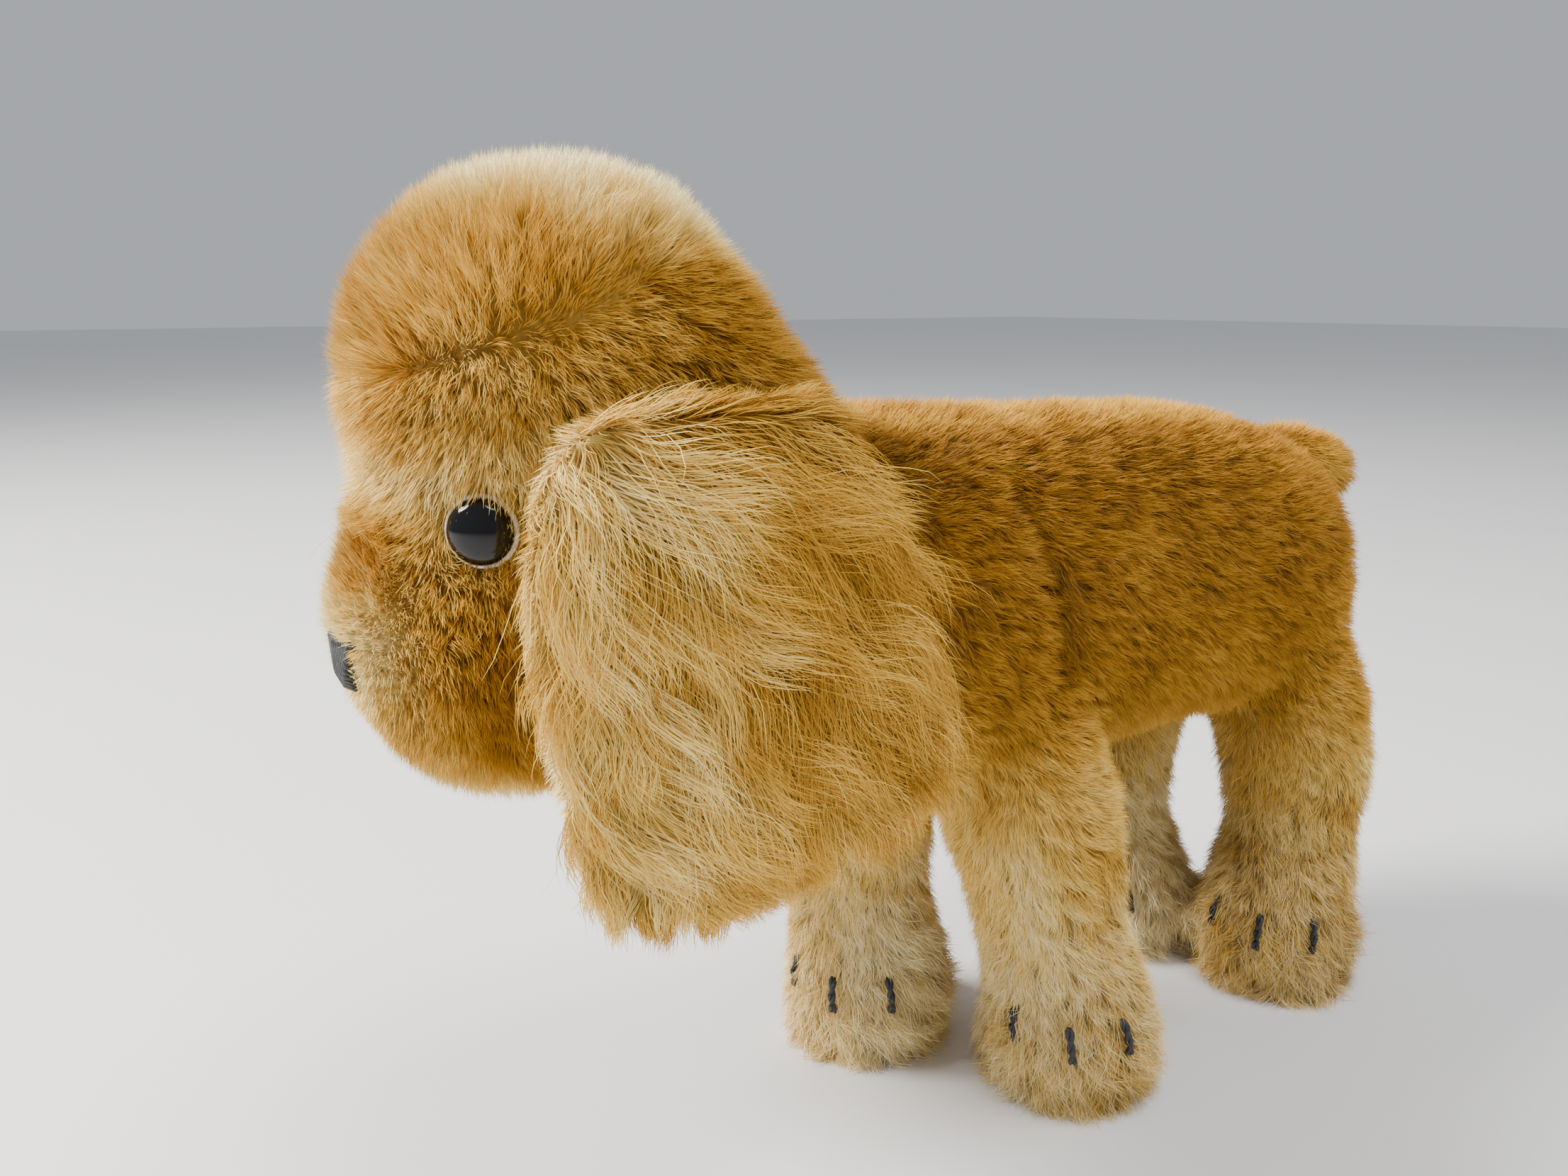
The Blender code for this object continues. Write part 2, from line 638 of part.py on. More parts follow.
def dome_solid(name, frame):
    """A glass eye: a low dome, turned about its own axis."""
    bm = bmesh.new()
    profile = [(EYE_RADIUS * 0.93, 0.0), (EYE_RADIUS, 0.35 * MM)]
    for i in range(1, 6):
        angle = math.pi / 2 * i / 6
        profile.append((EYE_RADIUS * math.cos(angle), 0.35 * MM + (EYE_DOME - 0.35 * MM) * math.sin(angle)))
    rings = []
    for radius, z in profile:
        ring = [bm.verts.new((x, y, z)) for x, y in superellipse(radius, radius, 2.0, 20)]
        rings.append(ring)
    for lower, upper in zip(rings, rings[1:]):
        for i in range(20):
            j = (i + 1) % 20
            bm.faces.new((lower[i], lower[j], upper[j], upper[i]))
    bm.faces.new(list(reversed(rings[0])))
    top = bm.verts.new((0.0, 0.0, EYE_DOME))
    for i in range(20):
        bm.faces.new((rings[-1][i], rings[-1][(i + 1) % 20], top))
    bmesh.ops.recalc_face_normals(bm, faces=bm.faces)
    bm.transform(frame)
    return finish_mesh(name, bm, CUTTERS)


def build_head(head, mohair, pale, wool, thread):
    """Two side panels, the gusset between them, the stuffing and the stitched nose."""
    skin = head_solid("head_outer", 0.0, NECK_GAP)
    combine(skin, head_solid("head_hollow", PANEL, NECK_GAP + NECK_CLOTH), "DIFFERENCE")
    combine(skin, cylinder("head_pin_hole", PIN_HOLE, -10 * MM, 10 * MM, neck_frame(), CUTTERS),
            "DIFFERENCE")
    filling = head_solid("head_filling", PANEL + GAP, NECK_GAP + NECK_CLOTH + GAP)
    cut_neck_room(filling, "head", 1)

    frame = head_frame()
    face = frame @ Matrix.Rotation(math.radians(90.0), 4, "X")
    middle = sum(z for _, z in NOSE_OUTLINE) / len(NOSE_OUTLINE)
    seat_outline = [(x * 1.06 * MM, (middle + (z - middle) * 1.08) * MM) for x, z in NOSE_OUTLINE]
    nose_outline = [(x * MM, z * MM) for x, z in NOSE_OUTLINE]
    seat = prism("nose_seat", seat_outline, 40 * MM, 90 * MM, face)
    combine(seat, head_solid("nose_seat_floor", NOSE_SUNK + GAP), "DIFFERENCE")
    combine(skin, seat, "DIFFERENCE")
    nose = prism("nose_patch", nose_outline, 40 * MM, 90 * MM, face)
    combine(nose, head_solid("nose_front", -NOSE_PROUD), "INTERSECT")
    combine(nose, head_solid("nose_back", NOSE_SUNK), "DIFFERENCE")
    add_part(nose, "nose_embroidery", thread, head)

    for side in ("left", "right"):
        seat = cylinder(f"eye_seat_{side}", EYE_DISC_RADIUS + GAP, -EYE_SEAT_DEPTH, 20 * MM,
                        eye_frame(side), CUTTERS)
        combine(skin, seat, "DIFFERENCE")
        hole = cylinder(f"eye_shank_hole_{side}", SHANK_HOLE, -EYE_SEAT_DEPTH - SHANK_LENGTH - 1.5 * MM,
                        2 * MM, eye_frame(side), CUTTERS)
        combine(skin, hole, "DIFFERENCE")
        combine(filling, hole, "DIFFERENCE")
    add_part(filling, "head_stuffing", wool, head)

    def plan(extra):
        right = [(half * MM + extra, -ahead * MM) for ahead, half in GUSSET_PLAN]
        left = [(-x, y) for x, y in reversed(right)]
        return right + left

    gusset = copy_of(skin, "head_gusset", CUTTERS)
    combine(gusset, prism("gusset_zone", plan(-SEAM), GUSSET_BOTTOM + SEAM, 200 * MM, frame),
            "INTERSECT")
    keep_largest(gusset)
    add_part(gusset, "head_gusset", pale, head)
    taken = prism("gusset_cut", plan(SEAM), GUSSET_BOTTOM - SEAM, 210 * MM, frame)
    reach = 120 * MM
    for side, sign in (("left", 1), ("right", -1)):
        panel = copy_of(skin, f"head_side_{side}", CUTTERS)
        x0, x1 = sorted((sign * SEAM, sign * reach))
        zone = prism(f"head_side_{side}_zone", ((x0, -reach), (x1, -reach), (x1, reach), (x0, reach)),
                     -reach, 2 * reach, frame)
        combine(panel, zone, "INTERSECT")
        combine(panel, taken, "DIFFERENCE")
        keep_largest(panel)
        add_part(panel, f"head_side_{side}", mohair, head)


def build_eyes(head, glass, backing, steel):
    for side in ("left", "right"):
        frame = eye_frame(side)
        floor = -EYE_SEAT_DEPTH + GAP
        disc = cylinder(f"eye_disc_{side}", EYE_DISC_RADIUS, floor, floor + EYE_DISC_THICKNESS, frame,
                        CUTTERS)
        hole = cylinder(f"eye_disc_hole_{side}", DISC_HOLE, -20 * MM, 20 * MM, frame, CUTTERS)
        combine(disc, hole, "DIFFERENCE")
        add_part(disc, f"eye_backing_{side}", backing, head)
        back = floor + EYE_DISC_THICKNESS + GAP
        eye = dome_solid(f"eye_{side}", frame @ Matrix.Translation((0.0, 0.0, back)))
        add_part(eye, f"eye_{side}", glass, head)
        top = back - GAP - SHANK_WIRE
        low = top - SHANK_LENGTH
        loop = SHANK_LOOP
        points = [(loop, 0.0, top), (loop, 0.0, (top + low) / 2), (loop, 0.0, low + loop)]
        for i in range(1, 6):
            angle = -math.pi * i / 6
            points.append((loop * math.cos(angle), 0.0, low + loop + loop * math.sin(angle)))
        points += [(-loop, 0.0, low + loop), (-loop, 0.0, (top + low) / 2), (-loop, 0.0, top)]
        shank = tube(f"eye_shank_{side}", [frame @ Vector(p) for p in points], SHANK_WIRE, CUTTERS)
        add_part(shank, f"eye_shank_{side}", steel, head)


def ear_solid(name, side, near, far):
    """One layer of an ear between two distances out from its inner face."""
    sign = 1 if side == "left" else -1
    frame = head_frame()
    rings = []
    for z, back, front, face in smooth_stations(EAR_STATIONS, EAR_RINGS):
        centre = -(back + front) / 2 * MM
        a = (far - near) / 2
        b = (front - back) / 2 * MM
        middle = face * MM + (near + far) / 2
        ring = []
        for x, y in superellipse(a, b, EAR_POWER, EAR_SIDES):
            curl = EAR_CURL * (y / (30 * MM)) ** 2 if z < EAR_CURL_TOP else 0.0
            ring.append(frame @ Vector((sign * (middle + x - curl), centre + y, z * MM)))
        rings.append(ring)
    return loft(name, rings, CUTTERS)


def build_ears(joints, mohair, pale):
    for side in ("left", "right"):
        lining = ear_solid(f"ear_lining_{side}", side, 0.0, EAR_LINING)
        add_part(lining, f"ear_lining_{side}", pale, joints[side])
        outer = ear_solid(f"ear_outer_{side}", side, EAR_LINING + GAP, EAR_LINING + GAP + EAR_OUTER)
        add_part(outer, f"ear_mohair_{side}", mohair, joints[side])


def stand_on_origin(root):
    """Move the dog so that its box's bottom centre is the world's origin."""
    bpy.context.view_layer.update()
    corners = [ob.matrix_world @ v.co for ob in PARTS.objects if ob.type == "MESH"
               for v in ob.data.vertices]
    low = Vector(min(c[k] for c in corners) for k in range(3))
    high = Vector(max(c[k] for c in corners) for k in range(3))
    root.location = (-(low.x + high.x) / 2, -(low.y + high.y) / 2, -low.z)


def main():
    golden = make_material("golden mohair", (0.56, 0.27, 0.055), 0.8)
    pale = make_material("pale mohair", (0.78, 0.55, 0.25), 0.8)
    cream = make_material("cream mohair", (0.68, 0.50, 0.28), 0.8)
    felt = make_material("beige felt", (0.60, 0.45, 0.26), 0.9)
    wool = make_material("wood wool", (0.62, 0.48, 0.28), 0.9)
    thread = make_material("black thread", (0.015, 0.016, 0.018), 0.7)
    glass = make_material("black glass", (0.006, 0.006, 0.007), 0.06)
    backing = make_material("white backing", (0.82, 0.80, 0.75), 0.6)
    board = make_material("hardboard", (0.30, 0.20, 0.11), 0.7)
    steel = make_material("bright steel", (0.62, 0.62, 0.63), 0.35, 1.0)

    root = add_empty("plush_dog_origin", (0.0, 0.0, 0.0))
    head = add_empty("neck_joint", NECK_CENTRE, root)
    joints = {}
    for side, sign in (("left", 1), ("right", -1)):
        place = head_frame() @ Vector((sign * EAR_HINGE_OUT, -EAR_HINGE_FORWARD, EAR_HINGE_HEIGHT))
        joints[side] = add_empty(f"ear_joint_{side}", place, head)

    build_trunk(root, golden, cream, wool)
    build_soles(root, felt)
    build_claws(root, thread)
    build_tail(root, golden, wool)
    build_neck(root, head, board, steel)
    build_head(head, golden, pale, wool, thread)
    build_eyes(head, glass, backing, steel)
    build_ears(joints, golden, pale)
    stand_on_origin(root)


clear_scene()
PARTS = make_collection("plush_dog")
CUTTERS = make_collection("cutters")
main()
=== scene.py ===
"""Looks of the plush dog: stuffed mohair skins grown with pile, glass eyes, stitched nose and claws."""
import json
import math

import bmesh
import bpy
import numpy as np
from mathutils import Matrix, Vector, kdtree


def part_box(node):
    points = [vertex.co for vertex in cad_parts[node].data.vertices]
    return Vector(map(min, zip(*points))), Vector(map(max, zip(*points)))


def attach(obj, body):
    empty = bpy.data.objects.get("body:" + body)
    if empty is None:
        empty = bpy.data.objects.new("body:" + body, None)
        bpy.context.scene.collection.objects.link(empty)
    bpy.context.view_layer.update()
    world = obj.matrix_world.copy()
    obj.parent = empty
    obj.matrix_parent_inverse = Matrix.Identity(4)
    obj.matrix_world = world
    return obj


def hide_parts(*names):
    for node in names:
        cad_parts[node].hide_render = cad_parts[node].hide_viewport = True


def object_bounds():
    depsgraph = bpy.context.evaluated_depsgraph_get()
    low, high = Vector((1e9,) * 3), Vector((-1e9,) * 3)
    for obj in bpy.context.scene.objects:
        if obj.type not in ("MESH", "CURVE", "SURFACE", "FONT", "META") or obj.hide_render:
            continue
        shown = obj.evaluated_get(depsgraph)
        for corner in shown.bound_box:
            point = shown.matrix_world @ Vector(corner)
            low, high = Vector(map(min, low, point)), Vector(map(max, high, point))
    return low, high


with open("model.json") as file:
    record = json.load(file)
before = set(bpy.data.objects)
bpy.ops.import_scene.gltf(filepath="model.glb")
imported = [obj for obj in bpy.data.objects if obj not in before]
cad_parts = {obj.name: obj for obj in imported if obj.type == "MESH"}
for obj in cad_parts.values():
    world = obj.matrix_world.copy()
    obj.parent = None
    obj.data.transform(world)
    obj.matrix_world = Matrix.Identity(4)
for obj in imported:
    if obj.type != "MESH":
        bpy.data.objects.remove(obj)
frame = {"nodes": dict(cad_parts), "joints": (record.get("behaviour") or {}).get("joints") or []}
CAD_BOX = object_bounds()
NODES = frame["nodes"]
JOINTS = {joint["name"]: joint for joint in frame["joints"]}
MM = 0.001
HALF_WIDTH = CAD_BOX[1][0] / MM      # of the CAD model; the pile reaches a little past it
AMOUNT = 1.0       # share of the strands that is grown
LEGS = ("front_left", "front_right", "rear_left", "rear_right")
BODY_PANELS = ("body_side_left", "body_side_right", "underbody", "tail_mohair")
BODY_FILLING = ("trunk_stuffing", "tail_stuffing") + tuple(f"leg_stuffing_{leg}" for leg in LEGS)
HEAD_PANELS = ("head_side_left", "head_side_right", "head_gusset")
NECK = np.array(JOINTS["head_swivel"]["pos_m"]) / MM
NECK_AXIS = np.array(JOINTS["head_swivel"]["axis"], float)
NECK_AXIS /= np.linalg.norm(NECK_AXIS)
# The pile's colours, from its deepest to its palest, in linear light.
GOLD = ((0.0, (0.13, 0.050, 0.001)), (0.25, (0.37, 0.165, 0.010)), (0.5, (0.61, 0.33, 0.032)),
        (0.75, (0.86, 0.62, 0.16)), (1.0, (1.0, 0.88, 0.50)))
# The weathered pile of the paws and inner legs, in the same way.
BEIGE = ((0.0, (0.15, 0.08, 0.016)), (0.25, (0.36, 0.22, 0.06)), (0.5, (0.63, 0.44, 0.15)),
         (0.75, (0.84, 0.67, 0.32)), (1.0, (0.97, 0.87, 0.58)))
MAX_TRIANGLES = 190000               # in one piece of pile
TUFT_REACH = 3.0                     # the farthest a strand's tip is drawn to its tuft, in millimetres


def centre_of(node):
    low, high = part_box(node)
    return np.array((low + high) / 2) / MM


# ---------------------------------------------------------------- numbers

def unit(v):
    return v / np.maximum(np.linalg.norm(v, axis=-1, keepdims=True), 1e-9)


def ramp(x, low, high):
    """A smooth step from 0 at low to 1 at high."""
    t = np.clip((x - low) / (high - low), 0.0, 1.0)
    return t * t * (3 - 2 * t)


def lattice(ix, iy, iz, seed):
    n = (ix * 374761393 + iy * 668265263 + iz * 2147483647 + seed * 1274126177) & 0xFFFFFFFF
    n = ((n ^ (n >> 13)) * 1274126177) & 0xFFFFFFFF
    return ((n ^ (n >> 16)) & 0xFFFF) / 65535.0


def noise(p, scale, seed):
    """Smooth noise from -1 to 1 at points in millimetres, with features of about the scale."""
    q = p / scale
    cell = np.floor(q).astype(np.int64)
    f = q - cell
    f = f * f * (3 - 2 * f)
    total = 0.0
    for dx in (0, 1):
        for dy in (0, 1):
            for dz in (0, 1):
                weight = ((f[:, 0] if dx else 1 - f[:, 0]) * (f[:, 1] if dy else 1 - f[:, 1])
                          * (f[:, 2] if dz else 1 - f[:, 2]))
                total = total + weight * lattice(cell[:, 0] + dx, cell[:, 1] + dy, cell[:, 2] + dz, seed)
    return total * 2 - 1


def noise3(p, scale, seed):
    return np.stack([noise(p, scale, seed + k) for k in range(3)], axis=1)


def columns(*parts):
    """Rows of vectors from their parts, each a number or an array."""
    return np.stack(np.broadcast_arrays(*parts), axis=1)


def palette_colour(tint, palette):
    places = [place for place, _ in palette]
    return np.stack([np.interp(tint, places, [c[k] for _, c in palette]) for k in range(3)], axis=-1)


# ---------------------------------------------------------------- materials

def principled(name, colour, roughness, **values):
    material = bpy.data.materials.new(name)
    material.use_nodes = True
    shader = material.node_tree.nodes["Principled BSDF"]
    shader.inputs["Base Color"].default_value = (*colour, 1.0)
    shader.inputs["Roughness"].default_value = roughness
    for key, value in values.items():
        shader.inputs[key.replace("_", " ")].default_value = value
    return material, material.node_tree, shader


def bump_noise(tree, shader, scale, strength, distance):
    """Fine relief from noise in object space."""
    place = tree.nodes.new("ShaderNodeTexCoord")
    texture = tree.nodes.new("ShaderNodeTexNoise")
    bump = tree.nodes.new("ShaderNodeBump")
    texture.inputs["Scale"].default_value = scale
    texture.inputs["Detail"].default_value = 6.0
    bump.inputs["Strength"].default_value = strength
    bump.inputs["Distance"].default_value = distance
    tree.links.new(place.outputs["Object"], texture.inputs["Vector"])
    tree.links.new(texture.outputs["Fac"], bump.inputs["Height"])
    tree.links.new(bump.outputs["Normal"], shader.inputs["Normal"])
    return texture


def speckle(name, dark, light, roughness, scale, relief=0.3, **values):
    """A material whose colour wanders between two tones with the same noise that gives its relief."""
    material, tree, shader = principled(name, light, roughness, **values)
    texture = bump_noise(tree, shader, scale, relief, 0.0004)
    mix = tree.nodes.new("ShaderNodeValToRGB")
    mix.color_ramp.elements[0].position = 0.3
    mix.color_ramp.elements[0].color = (*dark, 1.0)
    mix.color_ramp.elements[1].position = 0.7
    mix.color_ramp.elements[1].color = (*light, 1.0)
    tree.links.new(texture.outputs["Fac"], mix.inputs["Fac"])
    tree.links.new(mix.outputs["Color"], shader.inputs["Base Color"])
    return material


def pile_material(name, palette):
    """Mohair fibre: its tone runs along OFBake's U and from root to tip along V, with painted shade darkening
    the roots.
    """
    material, tree, shader = principled(name, (0.6, 0.3, 0.06), 0.55, Sheen_Weight=0.08, Sheen_Roughness=0.4)
    shader.inputs["Specular IOR Level"].default_value = 0.14
    shader.inputs["Sheen Tint"].default_value = (1.0, 0.86, 0.62, 1.0)
    place = tree.nodes.new("ShaderNodeUVMap")
    place.uv_map = "OFBake"
    split = tree.nodes.new("ShaderNodeSeparateXYZ")
    tones = tree.nodes.new("ShaderNodeValToRGB")
    for at, colour in palette[1:-1]:
        tones.color_ramp.elements.new(at)
    for element, (at, colour) in zip(tones.color_ramp.elements, palette):
        element.position = at
        element.color = (*colour, 1.0)
    # painted shade: the strands darken towards their roots, where their neighbours shade them
    along = tree.nodes.new("ShaderNodeValToRGB")
    along.color_ramp.elements[0].color = (0.66, 0.61, 0.55, 1.0)
    along.color_ramp.elements[1].color = (1.12, 1.12, 1.14, 1.0)
    along.color_ramp.elements[1].position = 0.8
    product = tree.nodes.new("ShaderNodeMix")
    product.data_type = "RGBA"
    product.blend_type = "MULTIPLY"
    product.inputs["Factor"].default_value = 1.0
    tree.links.new(place.outputs["UV"], split.inputs["Vector"])
    tree.links.new(split.outputs["X"], tones.inputs["Fac"])
    tree.links.new(split.outputs["Y"], along.inputs["Fac"])
    tree.links.new(tones.outputs["Color"], product.inputs["A"])
    tree.links.new(along.outputs["Color"], product.inputs["B"])
    tree.links.new(product.outputs["Result"], shader.inputs["Base Color"])
    return material


def skin_material(name):
    """The woven backing and the felted roots of the pile, tinted point by point."""
    material, tree, shader = principled(name, (0.4, 0.2, 0.05), 0.9)
    tint = tree.nodes.new("ShaderNodeVertexColor")
    tint.layer_name = "tone"
    texture = bump_noise(tree, shader, 1400.0, 0.6, 0.0005)
    shade = tree.nodes.new("ShaderNodeMix")
    shade.data_type = "RGBA"
    shade.blend_type = "MULTIPLY"
    shade.inputs["Factor"].default_value = 0.45
    tree.links.new(tint.outputs["Color"], shade.inputs["A"])
    tree.links.new(texture.outputs["Color"], shade.inputs["B"])
    tree.links.new(shade.outputs["Result"], shader.inputs["Base Color"])
    return material


# ---------------------------------------------------------------- meshes

def mesh_object(name, verts, faces, material):
    mesh = bpy.data.meshes.new(name)
    mesh.from_pydata([tuple(v) for v in verts], [], faces)
    mesh.update()
    ob = bpy.data.objects.new(name, mesh)
    bpy.context.scene.collection.objects.link(ob)
    mesh.materials.append(material)
    mesh.shade_smooth()
    return ob


def settle(ob):
    """Put an object's modifiers into its mesh."""
    graph = bpy.context.evaluated_depsgraph_get()
    mesh = bpy.data.meshes.new_from_object(ob.evaluated_get(graph))
    ob.modifiers.clear()
    ob.data = mesh


def points_of(mesh):
    co = np.zeros(len(mesh.vertices) * 3)
    mesh.vertices.foreach_get("co", co)
    return co.reshape(-1, 3)


def normals_of(mesh):
    co = np.zeros(len(mesh.vertices) * 3)
    mesh.vertex_normals.foreach_get("vector", co)
    return co.reshape(-1, 3)


def joined(name, nodes):
    """One mesh object holding copies of the nodes' meshes."""
    bm = bmesh.new()
    for node in nodes:
        bm.from_mesh(NODES[node].data)
    mesh = bpy.data.meshes.new(name)
    bm.to_mesh(mesh)
    bm.free()
    ob = bpy.data.objects.new(name, mesh)
    bpy.context.scene.collection.objects.link(ob)
    return ob


def keep_outer(ob):
    """Drop every loose shell but the one with the most points."""
    bm = bmesh.new()
    bm.from_mesh(ob.data)
    left = set(bm.verts)
    shells = []
    while left:
        stack = [left.pop()]
        shell = list(stack)
        while stack:
            for edge in stack.pop().link_edges:
                for v in edge.verts:
                    if v in left:
                        left.discard(v)
                        shell.append(v)
                        stack.append(v)
        shells.append(shell)
    shells.sort(key=len)
    for shell in shells[:-1]:
        bmesh.ops.delete(bm, geom=shell, context="VERTS")
    bm.to_mesh(ob.data)
    bm.free()


def stuffed_skin(name, nodes, voxel, inset_rule, smoothing):
    """The outer surface of some CAD solids, rounded and drawn in to where the pile's roots are."""
    ob = joined(name, nodes)
    remesh = ob.modifiers.new("Remesh", "REMESH")
    remesh.mode = "VOXEL"
    remesh.voxel_size = voxel
    settle(ob)
    keep_outer(ob)
    smooth = ob.modifiers.new("Smooth", "SMOOTH")
    smooth.factor = 0.5
    smooth.iterations = smoothing
    settle(ob)
    co = points_of(ob.data)
    move = inset_rule(co / MM, normals_of(ob.data)) * MM
    co -= normals_of(ob.data) * move[:, None]
    ob.data.vertices.foreach_set("co", co.ravel())
    ob.data.update()
    ob.data.shade_smooth()
    return ob


def tone(ob, rule):
    """Give a skin its own colour at every point, darkened by painted shade under the pile."""
    p, n = points_of(ob.data) / MM, normals_of(ob.data)
    tint = np.clip(rule(p, n), 0, 1)
    share = weathered(p)[:, None]
    # the factor 0.7 is painted shade: the backing is darkened as if lying under the pile
    colours = 0.7 * (palette_colour(tint, GOLD) * (1 - share) + palette_colour(tint, BEIGE) * share)
    layer = ob.data.color_attributes.new("tone", "FLOAT_COLOR", "POINT")
    layer.data.foreach_set("color", np.column_stack((colours, np.ones(len(colours)))).ravel())


def sample(mesh, count, rng):
    """Roots spread evenly over a mesh: points in millimetres, and normals."""
    mesh.calc_loop_triangles()
    tris = np.zeros(len(mesh.loop_triangles) * 3, np.int32)
    mesh.loop_triangles.foreach_get("vertices", tris)
    tris = tris.reshape(-1, 3)
    co = points_of(mesh) / MM
    no = normals_of(mesh)
    a, b, c = co[tris[:, 0]], co[tris[:, 1]], co[tris[:, 2]]
    area = np.linalg.norm(np.cross(b - a, c - a), axis=1)
    pick = np.searchsorted(np.cumsum(area) / area.sum(), rng.random(count))
    pick = np.minimum(pick, len(tris) - 1)
    u, v = rng.random(count), rng.random(count)
    flip = u + v > 1
    u[flip], v[flip] = 1 - u[flip], 1 - v[flip]
    w = 1 - u - v
    t = tris[pick]
    p = co[t[:, 0]] * w[:, None] + co[t[:, 1]] * u[:, None] + co[t[:, 2]] * v[:, None]
    n = unit(no[t[:, 0]] * w[:, None] + no[t[:, 1]] * u[:, None] + no[t[:, 2]] * v[:, None])
    return p, n


def clump_offsets(p, spacing, rng):
    """For each root, the vector to its tuft's centre, and a number that its tuft shares."""
    count = max(8, int(len(p) / spacing))
    chosen = rng.choice(len(p), count, replace=False)
    tree = kdtree.KDTree(count)
    for i, k in enumerate(chosen):
        tree.insert(p[k], i)
    tree.balance()
    nearest = np.array([tree.find(q)[1] for q in p.tolist()])
    return p[chosen][nearest] - p, rng.random(count)[nearest]


def strands(p, n, style, segments, rng):
    """Centre lines of the strands, from root to tip, in millimetres."""
    count = len(p)
    along = unit(style["nap"] - n * np.sum(style["nap"] * n, axis=1, keepdims=True))
    across = np.cross(n, along)
    toward, shared = clump_offsets(p, style["tuft"], rng)
    toward *= np.minimum(1.0, TUFT_REACH / np.maximum(np.linalg.norm(toward, axis=1), 1e-6))[:, None]
    sway = (shared - 0.5) * style["sway"] + rng.normal(0, 0.5, count) * style["stray"]
    along = along * np.cos(sway)[:, None] + across * np.sin(sway)[:, None]
    across = np.cross(n, along)
    length = style["length"] * (0.75 + 0.5 * rng.random(count))
    rise0 = style["rise"][0] + rng.normal(0, style["ruffle"], count) + (shared - 0.5) * 0.3
    rise1 = style["rise"][1] + rng.normal(0, style["ruffle"], count)
    phase = shared * 2 * math.pi * 3 + rng.normal(0, 0.5, count)
    lines = np.zeros((count, segments + 1, 3))
    here = p.copy()
    lines[:, 0] = here
    for k in range(segments):
        s = (k + 0.5) / segments
        rise = rise0 * (1 - s) + rise1 * s
        turn = style["wave"] * np.sin(phase + s * style["turns"] * 2 * math.pi)
        heading = (n * np.sin(rise)[:, None]
                   + (along * np.cos(turn)[:, None] + across * np.sin(turn)[:, None]) * np.cos(rise)[:, None])
        here = here + heading * (length / segments)[:, None]
        lines[:, k + 1] = here
    s = np.linspace(0, 1, segments + 1)[None, :, None]
    pull = np.reshape(style["clump"], (-1, 1, 1))
    lines += toward[:, None, :] * pull * s ** 1.2
    return lines, shared


def ribbons(name, lines, n, width, tint, material, rng):
    """Tapered ribbons along the lines, in pieces that stay under the triangle limit."""
    count, points, _ = lines.shape
    segments = points - 1
    per_piece = MAX_TRIANGLES // (2 * segments - 1)
    tangent = np.gradient(lines, axis=1)
    roll = rng.normal(0, 0.5, count)
    side = unit(np.cross(tangent, n[:, None, :]))
    lift = unit(np.cross(side, tangent))
    side = side * np.cos(roll)[:, None, None] + lift * np.sin(roll)[:, None, None]
    s = np.linspace(0, 1, points)
    taper = (1 - 0.75 * s ** 1.6)[None, :, None]
    half = np.reshape(width, (-1, 1, 1)) * 0.5 * taper
    left = lines - side * half
    right = lines + side * half
    pieces = []
    for number, start in enumerate(range(0, count, per_piece)):
        stop = min(count, start + per_piece)
        amount = stop - start
        verts = np.zeros((amount, 2 * segments + 1, 3))
        verts[:, 0:2 * segments:2] = left[start:stop, :-1]
        verts[:, 1:2 * segments:2] = right[start:stop, :-1]
        verts[:, -1] = lines[start:stop, -1]
        base = np.arange(amount)[:, None] * (2 * segments + 1)
        corner, level = [], []
        for k in range(segments - 1):
            corner += [2 * k, 2 * k + 1, 2 * k + 3, 2 * k + 2]
            level += [(k, -1), (k, 1), (k + 1, 1), (k + 1, -1)]
        corner += [2 * segments - 2, 2 * segments - 1, 2 * segments]
        level += [(segments - 1, -1), (segments - 1, 1), (segments, 0)]
        loops = (base + np.array(corner)[None, :]).ravel().astype(np.int32)
        sizes = np.tile([4] * (segments - 1) + [3], amount)
        mesh = bpy.data.meshes.new(f"{name}_{number}")
        mesh.vertices.add(amount * (2 * segments + 1))
        mesh.vertices.foreach_set("co", (verts * MM).astype(np.float32).ravel())
        mesh.loops.add(len(loops))
        mesh.loops.foreach_set("vertex_index", loops)
        mesh.polygons.add(len(sizes))
        mesh.polygons.foreach_set("loop_start", (np.cumsum(sizes) - sizes).astype(np.int32))
        uv = np.zeros((amount, len(corner), 2), np.float32)
        level = np.array(level, float)
        uv[:, :, 0] = np.clip(tint[start:stop], 0.01, 0.99)[:, None] + 0.004 * level[None, :, 1]
        uv[:, :, 1] = 0.02 + 0.96 * level[None, :, 0] / segments
        layer = mesh.uv_layers.new(name="OFBake")
        layer.data.foreach_set("uv", uv.ravel())
        mesh.materials.append(material)
        mesh.update(calc_edges=True)
        mesh.shade_smooth()
        ob = bpy.data.objects.new(f"{name}_{number}", mesh)
        bpy.context.scene.collection.objects.link(ob)
        pieces.append(ob)
    return pieces


